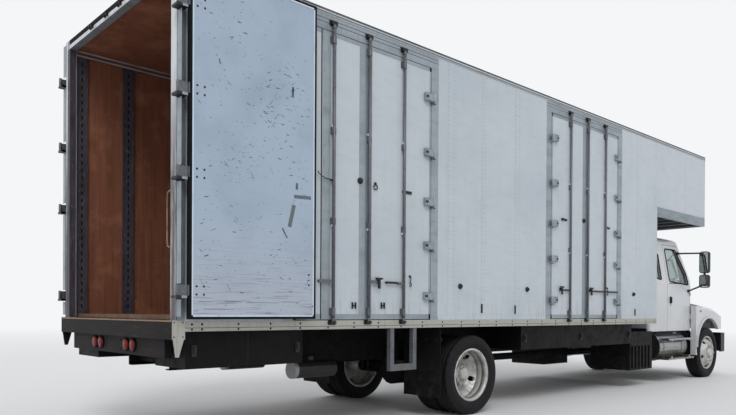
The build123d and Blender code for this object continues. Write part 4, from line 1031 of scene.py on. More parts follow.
class TRUCK_OT_side_door_fittings(bpy.types.Operator):
    """Add the side doors' rods, guides, keepers, handles, hinges, edge strips and seals"""
    bl_idname = "truck.side_door_fittings"
    bl_label = "Side door fittings"

    def execute(self, context):
        keepers, seals = Shape(), Shape()
        for number, leaf in enumerate(LEAVES, 1):
            rods, hinges, strips, marks = [Shape() for _ in range(4)]
            self.add_rods(leaf, rods, keepers)
            self.add_hinges(leaf, hinges, marks)
            self.add_edges(leaf, strips, seals)
            rods.piece(f"side_door_{number}_rods", galvanised_steel, leaf.body, "step_grey")
            hinges.piece(f"side_door_{number}_hinges", mill_aluminium, leaf.body, "aluminium_rail", bevel=1.5 * MM)
            strips.piece(f"side_door_{number}_edges", mill_aluminium, leaf.body, "aluminium_rail")
            marks.piece(f"side_door_{number}_hinge_marks", dark_steel, leaf.body, "post_metal")
        keepers.piece("side_rod_keepers", dark_steel, "root", "post_metal", bevel=1.5 * MM)
        seals.piece("side_door_seals", seal_rubber, "root", "flap_rubber")
        for leaf in LEAVES:
            self.add_latches(leaf.body)
        return {"FINISHED"}

    def add_rods(self, leaf, rods, keepers):
        """A leaf's lock rods with their guides and pads, and the keepers that their ends close into."""
        for place in leaf.rods:
            x, reach = at(place), min(GUIDE_REACH, abs(place - leaf.free) - 3 * MM)
            rod_and_guides(rods, x, -SIDE, -1, ROD_LOW, ROD_HIGH, ROD_GUIDES, reach)
            half, tall = ROD_PAD
            for z in steps(*ROD_GUIDES, PAD_PITCH):
                rods.box((x - half, -SIDE, z - tall), (x + half, -SIDE - ROD_OUT - 0.5 * MM, z + tall))
            for low, high in ROD_KEEPERS:
                for (half, out), margin in ((KEEPER_SIZE, 0.0), (PLATE_SIZE, PLATE_MARGIN)):
                    keepers.box((x - half, -SIDE, low - margin), (x + half, -SIDE - out, high + margin))

    def add_hinges(self, leaf, hinges, marks):
        """Straps with their knuckles, and the dark lines, pin heads and bolts on them."""
        turn, edge = leaf.turn, at(leaf.hinge) - leaf.turn * LEAF_CLEAR
        pin_x, pin_y, end = at(leaf.hinge) + turn * SIDE_PIN[0], -SIDE - SIDE_PIN[1], edge - turn * STRAP_LENGTH
        for z in SIDE_HINGES:
            hinges.box((pin_x, pin_y - 3 * MM, z - HINGE_HALF), (end, pin_y + 8.5 * MM, z + HINGE_HALF))
            hinges.box((edge - turn * 0.026, pin_y + 8 * MM, z - HINGE_HALF), (end, -SIDE, z + HINGE_HALF))
            hinges.lathe((pin_x, pin_y, z - PIN_HALF), (0, 0, 1), [(0, 14.6 * MM), (2 * PIN_HALF, 14.6 * MM)], 16)
            marks.box((end + turn * 0.040, pin_y - 2 * MM, z - 0.013),
                      (end - turn * 0.5 * MM, pin_y - 3.6 * MM, z + 0.013))
            for dz in (-0.0395, 0.0375):
                marks.box((pin_x, pin_y - 2 * MM, z + dz), (end, pin_y - 3.5 * MM, z + dz + 2 * MM))
            for dx in (0.050, 0.085):
                for dz in (-0.026, 0.026):
                    marks.dome((edge - turn * dx, pin_y - 3 * MM, z + dz), RIGHT, 5 * MM, 3 * MM)
            marks.lathe((pin_x, pin_y, z - 0.0655), (0, 0, 1), [(0, 9 * MM), (0.004, 11 * MM), (0.005, 11 * MM)], 12)

    def add_edges(self, leaf, strips, seals):
        """Aluminium strips along the leaf's four edges and the seal at its hinges."""
        turn, edge, free = leaf.turn, at(leaf.hinge) - leaf.turn * LEAF_CLEAR, at(leaf.free)
        strips.box((free, -SIDE, LEAF_LOW), (free + turn * 0.075, -SIDE - 3 * MM, LEAF_HIGH))
        strips.box((edge, -SIDE, LEAF_LOW), (edge - turn * 0.022, -SIDE - 2 * MM, LEAF_HIGH))
        for low, high in ((LEAF_LOW, LEAF_LOW + 0.05), (LEAF_HIGH - 0.035, LEAF_HIGH)):
            strips.box((free, -SIDE, low), (edge, -SIDE - 2 * MM, high))
        seals.box((at(leaf.hinge), -SIDE + 4 * MM, LEAF_LOW - 7 * MM),
                  (at(leaf.hinge) - turn * 6 * MM, -SIDE + 0.03, LEAF_HIGH + 7 * MM))
        if leaf is LEAVES[0]:
            start, end = [at(place) for place in FIRST_LEAF_LINE]
            seals.box((start, -SIDE, LEAF_LOW + 2 * MM), (end, -SIDE - 2.9 * MM, LEAF_HIGH - 2 * MM))
            start, end = [at(place) for place in FIRST_LEAF_STRIP]
            strips.box((start, -SIDE, LEAF_LOW + 1 * MM), (end, -SIDE - 2.6 * MM, LEAF_HIGH - 1 * MM))

    def add_latches(self, body):
        """The small fittings and lock bars of one body; the wall's own are on root."""
        black, bare = Shape(), Shape()
        for owner, fitting, x, z in LEAF_FITTINGS:
            if owner == body:
                fitting(black, at(x), z)
        for owner, start, end, z, is_bare in LOCK_BARS:
            if owner == body:
                bar, half = (bare, 14 * MM) if is_bare else (black, 11 * MM)
                bar.box((at(start), -SIDE - 0.022, z - half), (at(end), -SIDE - 0.030, z + half))
                bar.box((at(start) + 0.004, -SIDE, z - 0.008), (at(start) + 0.020, -SIDE - 0.025, z + 0.008))
        if len(bare.mesh.faces):
            bare.piece(f"{body}_bare_bars", galvanised_steel, body, "step_grey", bevel=1 * MM)
        if body == "root":
            black.tube([(at(x), -SIDE - 0.030, z) for x, z in DOOR_HOOK], 4.5 * MM, 8)
            black.box((at(1.490), -SIDE, 2.326), (at(1.500), -SIDE - 0.034, 2.342))
            for x, z in WALL_STOPS:
                rubber_stop(black, at(x), z)
            for x, z in WALL_CATCHES:
                black.box((at(x) - 9 * MM, -SIDE, z - 0.05), (at(x) + 9 * MM, -SIDE - 0.012, z + 0.05))
        black.piece(f"{body}_latches", dark_steel, body, "post_metal", bevel=1 * MM)


# Rear doors, folded flat along the sides: places from REAR, and depths out from the truck's centre

REAR_DOOR = (0.053, 1.253, 1.080, 3.790)
DOOR_OUTER = 1.320
DOOR_INNER = 1.275
# How far the skin lies behind the door's outermost face, and how far a mark on it stands out
SKIN_SET = 3.6 * MM
MARK_OUT = 0.3 * MM
SKIN_INSET = 18 * MM
FRAME_WIDTH = 20 * MM
REAR_HINGES = [1.300, 2.190, 2.820, 3.480]
REAR_RODS = [0.473, 1.227]
# The hinge pins: place from REAR and from the truck's centre
PIN_PLACE = (-0.032, 1.295)
DOOR_BOLTS = [(x, z + dz) for z in REAR_HINGES for x in (0.114, 0.176) for dz in (-0.031, 0.031)] + [
    (1.179, 1.459), (1.179, 1.371), (1.222, 1.189)]
BOLT_WASHER = [(0, 9 * MM), (0.8 * MM, 9 * MM), (0.9 * MM, 6.5 * MM), (2.6 * MM, 5.5 * MM), (3.2 * MM, 0)]
# Strips of tape and small scuffs on the right rear door's skin: two ends and the width
TAPES = [((1.018, 2.118), (1.198, 2.125), 0.030), ((1.019, 2.046), (0.972, 1.856), 0.038),
         ((0.915, 1.808), (0.933, 1.794), 0.016)]
SCUFFS = [((1.046, 2.180), (1.050, 2.235), 0.024), ((1.000, 2.950), (1.004, 3.040), 0.022),
          ((0.900, 1.840), (0.950, 1.760), 0.014), ((0.300, 3.100), (0.310, 3.060), 0.010)]
# Where use has rubbed the skin most: place, height and how far the marks spread
MARK_CLUSTERS = [(0.35, 3.45, 0.20), (0.30, 3.15, 0.22), (0.75, 3.05, 0.22), (1.00, 2.90, 0.15), (0.80, 2.65, 0.15),
                 (0.45, 2.32, 0.12), (1.05, 2.35, 0.15), (0.35, 2.45, 0.40), (0.60, 2.00, 0.40), (0.25, 1.70, 0.25),
                 (0.95, 1.50, 0.18), (0.55, 1.40, 0.30)]
MARK_MARGIN = 70 * MM
# A mark's outline: how far along its length, and how thick it is there as a share of its width
MARK_OUTLINE = ((-0.5, 0.25), (-0.2, 1.0), (0.2, 0.9), (0.5, 0.2))
# Long thin scratches low on the skin: their ends and height
LOW_SCRATCHES = [(0.13, 0.25, 1.214), (0.36, 0.51, 1.216), (0.55, 0.86, 1.212), (0.90, 1.06, 1.222),
                 (0.17, 0.44, 1.158)]


def strip(shape, start, end, width, depth, out):
    """A flat slanting strip on a skin that lies at a depth, standing out by a signed thickness."""
    a, b = Vector(start), Vector(end)
    turn = (b - a).normalized()
    across = Vector((-turn.y, turn.x)) * width / 2
    corners = [a - across, b - across, b + across, a + across]
    shape.prism([(at(p.x), p.y) for p in corners], "xz", depth, depth + out)


def skin_marks(shape, chance, count, depth, out):
    """Small marks of random place, length and bend on a rear door's skin, gathered where use rubs it."""
    x0, x1, low, high = REAR_DOOR
    made = 0
    while made < count:
        middle, height, spread = chance.choice(MARK_CLUSTERS)
        x, z = chance.gauss(middle, spread), chance.gauss(height, spread)
        length = 0.007 + min(0.036, chance.expovariate(1 / 0.012))
        width = chance.uniform(0.003, 0.006) * (0.6 + length / 0.05)
        slope, bend = chance.choice((0.2, 0.3, 1.2)) * chance.gauss(0.0, 0.7), chance.uniform(-0.25, 0.25)
        if not (x0 + MARK_MARGIN < x < x1 - MARK_MARGIN and low + MARK_MARGIN < z < high - MARK_MARGIN):
            continue
        top, bottom = [], []
        for share, thick in MARK_OUTLINE:
            along = length * share
            rise = along * slope + bend * length * (1 - 4 * share * share)
            top.append((at(x + along), z + rise + width * thick / 2))
            bottom.append((at(x + along), z + rise - width * thick / 2))
        shape.prism(top + bottom[::-1], "xz", depth, depth + out * MARK_OUT)
        made += 1


def surround(shape, side, inset, width, inner, outer, lapped=False):
    """Four bars round a rear door, set in from its edges, between two depths out from the truck's centre. The level
    bars end at the upright ones, or at their outer edges where the corners are lapped."""
    x0, x1, low, high = [edge + turn * inset for edge, turn in zip(REAR_DOOR, (1, -1, 1, -1))]
    for a, b in ((x0, x0 + width), (x1 - width, x1)):
        side_box(shape, side, (a, b, inner, outer, low, high))
    cut = 0.0 if lapped else width
    for c, d in ((low, low + width), (high - width, high)):
        side_box(shape, side, (x0 + cut, x1 - cut, inner, outer, c, d))


class TRUCK_OT_rear_doors(bpy.types.Operator):
    """Build the rear doors: frame, skins, seals, rods, hinge straps, bolts and tape"""
    bl_idname = "truck.rear_doors"
    bl_label = "Rear doors"

    def execute(self, context):
        for side, name in SIDE_NAMES:
            body = f"rear_door_{name}"
            self.add_wear(side, name, body)
            self.add_panel(side, body)
            self.add_metalwork(side, body)
        return {"FINISHED"}

    def add_wear(self, side, name, body):
        """Marks on the skin, and on the right door the tape and scuffs that the photograph shows."""
        scuffs, depth = Shape(), side * (DOOR_OUTER - SKIN_SET)
        skin_marks(scuffs, random.Random(name), chosen().skin_marks, depth, side)
        for start, end, z in LOW_SCRATCHES:
            scuffs.box((at(start), depth, z), (at(end), depth + side * MARK_OUT, z + 3.5 * MM))
        if side < 0:
            tape = Shape()
            for start, end, width in TAPES:
                strip(tape, start, end, width, depth, -0.6 * MM)
            for start, end, width in SCUFFS:
                strip(scuffs, start, end, width, depth, -MARK_OUT)
            tape.piece("door_tape", cloth_tape, body, "door_inner")
        scuffs.piece(f"{body}_marks", scuff_marks, body, "door_inner")

    def add_panel(self, side, body):
        """The skin, which stands for the whole CAD door, in its black frame (rubber and the gap's painted shadow), pale
        lip and outer seal.
        """
        x0, x1, low, high = REAR_DOOR
        skin, bars, lip, seal = [Shape() for _ in range(4)]
        side_box(skin, side, (x0 + SKIN_INSET, x1 - SKIN_INSET, DOOR_INNER + 2 * MM, DOOR_OUTER - SKIN_SET,
                              low + SKIN_INSET, high - SKIN_INSET))
        # The frame's black is partly the door's rubber and partly painted shadow of the gap round the door
        surround(bars, side, 0.0, FRAME_WIDTH, DOOR_INNER, DOOR_OUTER - 1 * MM)
        surround(lip, side, FRAME_WIDTH, 12 * MM, DOOR_OUTER - 12 * MM, DOOR_OUTER - 0.8 * MM, lapped=True)
        surround(seal, side, 2 * MM, 8 * MM, DOOR_OUTER - 6 * MM, DOOR_OUTER)
        skin.piece(f"{body}_skin", scratched_skin, body, "door_inner", replaces=(body,))
        bars.piece(f"{body}_frame", seal_rubber, body, "flap_rubber")
        lip.piece(f"{body}_lip", pale_edge_paint, body, "white_sheet")
        seal.piece(f"{body}_seal", seal_rubber, body, "flap_rubber")

    def add_metalwork(self, side, body):
        """Rods on the door's stored inner face, hinge knuckles with their pins, straps and the skin's bolts."""
        x0, x1, low, high = REAR_DOOR
        steel, bolts = Shape(), Shape()
        for place in REAR_RODS:
            rod_and_guides(steel, at(place), side * DOOR_INNER, -side, low + 0.010, high - 0.010,
                           steps(low + 0.07, high - 0.07, 0.85), min(GUIDE_REACH, x1 - place - 2 * MM))
        pin_x, pin_y = at(PIN_PLACE[0]), side * PIN_PLACE[1]
        for z in REAR_HINGES:
            steel.lathe((pin_x, pin_y, z - PIN_HALF), (0, 0, 1), [(0, 14.2 * MM), (2 * PIN_HALF, 14.2 * MM)], 16)
            steel.lathe((pin_x, pin_y, z - 0.060), (0, 0, 1),
                        [(0, 8 * MM), (0.1, 8 * MM), (0.1, 10 * MM), (0.105, 9 * MM)], 12)
            foot, top = z - PIN_HALF, z + PIN_HALF
            side_box(steel, side, (PIN_PLACE[0], x0, 3.5 * MM, 12 * MM, foot, top), PIN_PLACE[1])
            side_box(steel, side, (x0 - 8 * MM, x0, DOOR_INNER + 3 * MM, DOOR_OUTER - 2 * MM, foot, top))
        for x, z in DOOR_BOLTS:
            bolts.lathe((at(x), side * (DOOR_OUTER - SKIN_SET), z), (0, side, 0), BOLT_WASHER, 12)
        steel.piece(f"{body}_hinges_and_rods", galvanised_steel, body, "step_grey", bevel=1 * MM)
        bolts.piece(f"{body}_bolts", dark_steel, body, "post_metal")


# The rear frame: half widths of its opening and of its painted faces, and their heights
OPENING_HALF = 1.114
FACE_HALF = 1.212
FACE_LOW = 1.075
FACE_HIGH = 3.866
# Where the posts' white faces start; inward of it, which is most of the left one, they carry painted shade
WHITE_FROM = {-1: 1.118, 1: 1.172}
SHADE_HIGH = 3.780
HEADER_SEAL_LOW = 3.820
HEADER_WHITE = (3.782, 3.819)
KEEPER_PLACES = (-0.502, -0.149, 0.149, 0.502)
KEEPER_HIGH = 3.826
# A keeper's two lugs and the bridge over them: ends across the truck, underside and how far out
KEEPER_PARTS = ((-0.030, -0.020, 3.794, 0.028), (0.020, 0.030, 3.794, 0.028), (-0.030, 0.030, 3.816, 0.020))
# The flanges between the hinges: how far out they reach, and each one's lower and upper edge in turn
FLANGE_HALF = 1.290
FLANGE_EDGES = [1.098] + [z + turn for z in REAR_HINGES for turn in (-0.070, 0.050)] + [3.845]
# The ear under each hinge: how far out it reaches, and its edges under the hinge's middle
EAR_HALF = 1.3105
EAR_SPAN = (-60.9 * MM, -40 * MM)
# The wear strip on the sill: ends from REAR and heights of its top and of its rear edge
WEAR_STRIP = ((-40 * MM, 30 * MM, 1.062, 1.0712), (-41.2 * MM, -40 * MM, 1.060, 1.070))
# The sill's end: its plate's lower edge, the point under it, as places and heights, and its bolts
SILL_PLATE_LOW = 0.925
SILL_POINT = ((-0.030, SILL_PLATE_LOW), (0.060, SILL_PLATE_LOW), (0.020, 0.790), (-0.010, 0.790))
SILL_BOLTS = [(x, z) for x in (-0.020, 0.052) for z in (0.945, 1.055)]
# The hand bar in the opening: points across and up
HAND_BAR = [(-1.116, 1.64), (-1.040, 1.64), (-1.006, 1.652), (-1.000, 1.69),
            (-1.000, 2.03), (-1.006, 2.068), (-1.040, 2.08), (-1.116, 2.08)]
TAIL_LAMPS = (0.28, 0.42)
TAIL_LAMP_HEIGHT = 0.855


class TRUCK_OT_rear_frame_fittings(bpy.types.Operator):
    """Add the rear frame's painted faces, hinge flanges, rod keepers, hand bar and lamps"""
    bl_idname = "truck.rear_frame_fittings"
    bl_label = "Rear frame fittings"

    def execute(self, context):
        white, flange, ears, keepers, dark, plates, shade = [Shape() for _ in range(7)]
        bar, red, cups, tan = [Shape() for _ in range(4)]
        self.add_header(white, dark, keepers)
        for side in SIDES:
            self.add_post(side, white, dark, shade)
            self.add_hinge_irons(side, flange, ears)
            self.add_sill_end(side, plates, dark)
            self.add_lamps(side, cups, red)
        bar.tube([(REAR + 0.030, y, z) for y, z in HAND_BAR], 7 * MM, 10)
        for start, end, low, high in WEAR_STRIP:
            tan.box((at(start), -SIDE + 2 * MM, low), (at(end), SIDE - 2 * MM, high))
        white.piece("rear_frame_white_faces", worn_frame_enamel, "root", "white_sheet")
        dark.piece("header_seal", seal_rubber, "root", "flap_rubber")
        # Painted shade on the rear posts, in the posts' grey-violet primer
        shade.piece("rear_post_painted_shade", post_paint, "root", "post_metal")
        flange.piece("hinge_flanges", mill_aluminium, "root", "aluminium_rail", bevel=1 * MM)
        ears.piece("rear_hinge_ears", dark_steel, "root", "post_metal", bevel=1 * MM)
        plates.piece("sill_end_plates", mill_aluminium, "root", "aluminium_rail")
        keepers.piece("rear_rod_keepers", dark_steel, "root", "post_metal", bevel=1 * MM)
        bar.piece("hand_bar", tan_bar_paint, "root", "bar_metal")
        red.piece("tail_lamps", red_lens, "root", "lamp_clear")
        cups.piece("tail_lamp_cups", seal_rubber, "root", "flap_rubber")
        tan.piece("sill_wear_strip", tan_bar_paint, "root", "sill_brown")
        return {"FINISHED"}

    def add_header(self, white, dark, keepers):
        """A dark strip over a white one, with the keepers that the rear doors' rods close into."""
        dark.box((REAR, -OPENING_HALF, HEADER_SEAL_LOW), (REAR - 3 * MM, OPENING_HALF, FACE_HIGH))
        white.box((REAR, -OPENING_HALF, HEADER_WHITE[0]), (REAR - 2 * MM, OPENING_HALF, HEADER_WHITE[1]))
        for y in KEEPER_PLACES:
            for start, end, low, out in KEEPER_PARTS:
                keepers.box((REAR - 2 * MM, y + start, low), (REAR - out, y + end, KEEPER_HIGH))

    def add_post(self, side, white, dark, shade):
        """A rear post's white outer face, painted shade beside the white and on its inner faces, and the seal on its
        outer edge.
        """
        start = WHITE_FROM[side]
        inner = OPENING_HALF - 0.5 * MM
        side_box(white, side, (0.0, -2 * MM, start, FACE_HALF, FACE_LOW, FACE_HIGH))
        # Painted shade beside the white face and on the inner face
        side_box(shade, side, (0.0, -1 * MM, inner, start - 1 * MM, FACE_LOW, SHADE_HIGH))
        side_box(shade, side, (2 * MM, 60 * MM, inner, OPENING_HALF + 1.5 * MM, FACE_LOW, SHADE_HIGH))
        side_box(dark, side, (0.0, -1.5 * MM, FACE_HALF + 1.5 * MM, FACE_HALF + 9.5 * MM, FACE_LOW, FACE_HIGH))

    def add_hinge_irons(self, side, flange, ears):
        """The flanges on a rear post between its hinges, and an ear under each hinge."""
        for low, high in zip(FLANGE_EDGES[::2], FLANGE_EDGES[1::2]):
            flange.box((REAR - 4 * MM, side * (SIDE + 2.5 * MM), low), (REAR, side * FLANGE_HALF, high))
            flange.box((REAR, side * SIDE, low), (REAR + 0.030, side * (SIDE + 4 * MM), high))
        for z in REAR_HINGES:
            ears.box((REAR - 0.046, side * SIDE, z + EAR_SPAN[0]), (REAR + 0.041, side * EAR_HALF, z + EAR_SPAN[1]))

    def add_sill_end(self, side, plates, dark):
        """A plate on the sill's end that runs down to a point, with four bolts."""
        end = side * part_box("rear_sill")[1].y
        outer = end + side * 2 * MM
        plates.box((REAR - 0.038, end, SILL_PLATE_LOW), (REAR + 0.070, outer, FACE_LOW))
        plates.prism([(at(x), z) for x, z in SILL_POINT], "xz", end, outer)
        for x, z in SILL_BOLTS:
            dark.dome((at(x), outer, z), (0, side, 0), 6 * MM, 3 * MM)

    def add_lamps(self, side, cups, red):
        """Two round tail lamps, each a lens in a rubber cup."""
        for y in TAIL_LAMPS:
            centre = (REAR + 0.010, side * y, TAIL_LAMP_HEIGHT)
            cups.lathe(centre, (-1, 0, 0), [(0, 0.058), (0.012, 0.058), (0.014, 0.052), (0.008, 0.050)], 28)
            red.lathe(centre, (-1, 0, 0), [(0.002, 0.050), (0.016, 0.049), (0.021, 0.040), (0.024, 0)], 28)


# The hold: the rear edges of its slotted posts on each side, and the inner face that posts and rails share
POSTS = {1: [0.072, 0.560, 1.180, 2.100, 3.050, 4.000, 4.950, 5.900, 6.850, 7.700],
         -1: [3.050, 4.000, 4.750, 7.100, 7.700]}
POST_HALF_WIDTH = 60 * MM
HOLD_HALF = 1.143
SLOT_SPAN = (1.19, 3.66)
SLOT_PITCH = 75 * MM
SLOT_HALF = (8 * MM, 19 * MM)
LIP_SPAN = (1.112, 3.73)
LIP_WIDTH = 8 * MM
RAIL_LIPS = (3.739, 3.783)
RAIL_END = 7.98


class TRUCK_OT_hold_fittings(bpy.types.Operator):
    """Mark the slots in the load posts as black patches of painted shade, and give the load rails their lips"""
    bl_idname = "truck.hold_fittings"
    bl_label = "Load hold fittings"

    def execute(self, context):
        slots, lips, rails = Shape(), Shape(), Shape()
        for side, places in POSTS.items():
            face = side * HOLD_HALF
            for place in places:
                middle, (half, tall) = at(place + POST_HALF_WIDTH), SLOT_HALF
                for z in steps(*SLOT_SPAN, SLOT_PITCH):
                    slots.box((middle - half, face, z - tall), (middle + half, face - side * 0.5 * MM, z + tall))
                for edge in (middle - POST_HALF_WIDTH, middle + POST_HALF_WIDTH - LIP_WIDTH):
                    lips.box((edge, face, LIP_SPAN[0]), (edge + LIP_WIDTH, face - side * 3 * MM, LIP_SPAN[1]))
            for z in RAIL_LIPS:
                rails.box((RAIL_START, face, z), (at(RAIL_END), face - side * 6 * MM, z + 0.014))
        # The slots are black patches that stand for the shade in the holes
        slots.piece("post_slots", seal_rubber, "root", "post_metal")
        lips.piece("post_lips", post_paint, "root", "post_metal")
        rails.piece("load_rail_lips", rail_lip_metal, "root", "bar_metal")
        return {"FINISHED"}


# Wheels: half a tyre's section from the bore to the tread's middle, as radius and place from its centre
TYRE_SIDE = [(0.2866, 0.0935), (0.296, 0.0955), (0.300, 0.0985), (0.306, 0.101), (0.322, 0.1115), (0.338, 0.1185),
             (0.341, 0.1205), (0.345, 0.1205), (0.348, 0.1215), (0.371, 0.1245), (0.392, 0.1235), (0.395, 0.1215),
             (0.399, 0.1210), (0.415, 0.1160), (0.428, 0.1100), (0.4345, 0.1060), (0.4385, 0.1010)]
TREAD = [(0.4430, 0.0940), (0.4440, 0.0600), (0.4320, 0.0575), (0.4320, 0.0485), (0.4445, 0.0460), (0.4450, 0.0225),
         (0.4330, 0.0200), (0.4330, 0.0120), (0.4450, 0.0095)]
# Radii over this are the tread's ribs, which a driven tyre's notches cut; a steered one has only small shoulder cuts
RIB_RADIUS = 0.44
SHOULDER_CUT = 4 * MM
# Every fourth step round the tyre is a notch, two steps on at the other side
TYRE_STEPS = 120
NOTCH_EVERY = 4
# The rim: half its section, and its drop's inner face, as radius and place from its centre
RIM_HALF = [(0.2775, 0.1035), (0.2800, 0.1040), (0.2965, 0.1040), (0.2975, 0.1015), (0.2950, 0.0990),
            (0.2890, 0.0975), (0.2862, 0.0930), (0.2855, 0.0600), (0.2780, 0.0450), (0.2700, 0.0400)]
RIM_INSIDE = [(0.2620, 0.0380), (0.2710, 0.0480), (0.2765, 0.0620)]
# The dish's outer and inner ring, and its flat middle, as radius and place
DISH_OUTER, DISH_INNER = (0.266, 0.052), (0.188, 0.140)
DISH_MIDDLE = [(0.140, 0.190), (0.1452, 0.183), (0.1452, 0.100), (0.132, 0.100), (0.132, 0.183), (0.126, 0.190)]
DISH_THICK = 12 * MM
HAND_HOLES = 5
HAND_HOLE_RADIUS = 30 * MM
HAND_HOLE_STEPS = 32
RIM_STEPS = 72
HUB_HEIGHT = 0.445
WHEEL_NUTS = (0.1425, 10, 17 * MM)

# One kind of wheel: its body and nodes, its axle's place, the centres of its tyres across and whether it is driven.
# Then, from the outer tyre's centre: its nuts and how tall they are, its hub and the hub's section, and its cap's nuts
# (their ring, number, size and height)
Wheel = namedtuple("Wheel", "stem tyre_node rim_node place centres driven nuts_at nut_tall hub_at hub cap_at cap_nuts")
WHEELS = [
    Wheel("wheels_rear", "tyres_rear", "rims_rear", REAR_AXLE, (1.072, 0.782), True, -0.1320, 22 * MM, -0.410,
          [(0.0, 0.1005), (0.355, 0.1005), (0.3685, 0.0960), (0.3700, 0.0870), (0.372, 0.0760), (0.382, 0.0745),
           (0.418, 0.0700), (0.4245, 0.0560), (0.4248, 0.0)], -0.0405, (0.0850, 8, 8 * MM, 9 * MM)),
    Wheel("wheel_front", "tyre_front", "rim_front", FRONT_AXLE, (1.003,), False, 0.1452, 20 * MM, -0.0398,
          [(0.0, 0.0855), (0.190, 0.0855), (0.200, 0.0800), (0.204, 0.0640), (0.2145, 0.0600), (0.2155, 0.0520),
           (0.2158, 0.0)], 0.1627, (0.0700, 6, 6 * MM, 7 * MM)),
]


def circle(count, start=0.0):
    """Evenly spaced angles round a circle; start is how many steps the first is turned on."""
    return [2 * math.pi * (k + start) / count for k in range(count)]


def tyre(shape, centre, side, driven):
    """A tyre with ribs round it; a driven one has notched shoulders and blocks."""
    half_rows = [(r, y, 0.0) for r, y in TYRE_SIDE]
    for i, (r, y) in enumerate(TREAD):
        cut = chosen().rib_notch if driven else (SHOULDER_CUT if i == 0 else 0.0)
        half_rows.append((r, y, cut if r >= RIB_RADIUS else 0.0))
    rows = half_rows + [(r, -y, notch) for r, y, notch in reversed(half_rows)]
    axis_x, axis_y = centre
    points = []
    for r, y, notch in rows:
        for k, turn in enumerate(circle(TYRE_STEPS)):
            radius = r - (notch if k % NOTCH_EVERY == (0 if y > 0 else NOTCH_EVERY // 2) else 0.0)
            points.append((axis_x + radius * math.sin(turn), axis_y + side * y, HUB_HEIGHT - radius * math.cos(turn)))
    faces = []
    for i in range(len(rows)):
        a, b = i * TYRE_STEPS, ((i + 1) % len(rows)) * TYRE_STEPS
        faces += [(a + k, a + (k + 1) % TYRE_STEPS, b + (k + 1) % TYRE_STEPS, b + k) for k in range(TYRE_STEPS)]
    shape.faces(points, faces, True)


def pierced_dish(shape, centre, facing):
    """A wheel's dished disc between two rings, pierced by round hand holes. facing is the side it is seen from."""
    axis_x, axis_y = centre
    (outer_r, outer_y), (inner_r, inner_y) = DISH_OUTER, DISH_INNER
    middle, count = (outer_r + inner_r) / 2, HAND_HOLE_STEPS

    def spot(turn, radius, depth):
        """A point of the dish at an angle and radius, so far behind its face."""
        y = outer_y + (outer_r - radius) / (outer_r - inner_r) * (inner_y - outer_y) - depth
        return (axis_x + radius * math.sin(turn), axis_y + facing * y, HUB_HEIGHT - radius * math.cos(turn))

    def join(rings):
        """Four-sided faces between rings of points, each to the next."""
        faces = [(i * count + k, i * count + (k + 1) % count, (i + 1) * count + (k + 1) % count, (i + 1) * count + k)
                 for i in range(len(rings) - 1) for k in range(count)]
        shape.faces([p for ring in rings for p in ring], faces, True)

    for depth in (0.0, DISH_THICK):
        for base in circle(HAND_HOLES):
            rings = []
            # From the edge of the hole's own field, a bent rectangle, in to the round hole
            for share in (0.0, 0.35, 0.7, 1.0):
                ring = []
                for turn in circle(count):
                    c, s = math.cos(turn), math.sin(turn)
                    reach = 1 / max(abs(c), abs(s))
                    edge = (base + math.pi / HAND_HOLES * c * reach, middle + (outer_r - inner_r) / 2 * s * reach)
                    hole = (base + HAND_HOLE_RADIUS * c / middle, middle + HAND_HOLE_RADIUS * s)
                    ring.append(spot(*[a + share * (b - a) for a, b in zip(edge, hole)], depth))
                rings.append(ring)
            join(rings)
    for base in circle(HAND_HOLES):
        join([[spot(base + HAND_HOLE_RADIUS * math.cos(turn) / middle, middle + HAND_HOLE_RADIUS * math.sin(turn),
                    depth) for turn in circle(count)] for depth in (0.0, DISH_THICK)])


def rim(shape, centre, side, facing):
    """A steel rim: two lipped flanges, a dropped middle and a dish that stands out towards facing."""
    rows = (RIM_HALF + [(r, -y) for r, y in reversed(RIM_HALF)]
            + [(r, -y) for r, y in RIM_INSIDE] + RIM_INSIDE[::-1])
    hub = (*centre, HUB_HEIGHT)
    shape.lathe(hub, (0, side, 0), [(y, r) for r, y in rows], RIM_STEPS, True, closed=True)
    pierced_dish(shape, centre, facing)
    shape.lathe(hub, (0, facing, 0), DISH_MIDDLE, RIM_STEPS, True, closed=True)


def nuts(shape, x, y, facing, ring, count, size, tall):
    """A ring of six-sided nuts with round ends, standing out towards facing from a place across the truck."""
    for turn in circle(count, 0.5):
        spot = (x + ring * math.sin(turn), y, HUB_HEIGHT - ring * math.cos(turn))
        shape.lathe(spot, (0, facing, 0), [(0, size), (tall * 0.8, size), (tall, size * 0.8)], 6, False)
        shape.lathe(spot, (0, facing, 0), [(tall * 0.9, size * 0.5), (tall * 1.3, size * 0.5)], 10, False)


class TRUCK_OT_wheels(bpy.types.Operator):
    """Build the tyres with their tread, and the rims with hand holes, hubs and nuts"""
    bl_idname = "truck.wheels"
    bl_label = "Wheels"

    def execute(self, context):
        for wheel in WHEELS:
            for side, name in SIDE_NAMES:
                tyres, rims, hubs = Shape(), Shape(), Shape()
                x, outer = at(wheel.place), wheel.centres[0]
                for y in wheel.centres:
                    centre = (x, side * y)
                    tyre(tyres, centre, side, wheel.driven)
                    # The outer wheel of a twin pair is turned over, so its dish stands in
                    rim(rims, centre, side, -side if wheel.driven and y == outer else side)
                nuts(rims, x, side * (outer + wheel.nuts_at), side, *WHEEL_NUTS, wheel.nut_tall)
                hubs.lathe((x, side * (outer + wheel.hub_at), HUB_HEIGHT), (0, side, 0), wheel.hub, 48)
                nuts(hubs, x, side * (outer + wheel.cap_at), side, *wheel.cap_nuts)
                body = f"{wheel.stem}_{name}"
                tyres.piece(f"{body}_tyres", tyre_rubber, body, "tyre_rubber", replaces=(f"{wheel.tyre_node}_{name}",))
                rims.piece(f"{body}_rims", wheel_enamel, body, "wheel_silver", replaces=(f"{wheel.rim_node}_{name}",))
                hubs.piece(f"{body}_hub", wheel_enamel, body, "wheel_silver")
        return {"FINISHED"}


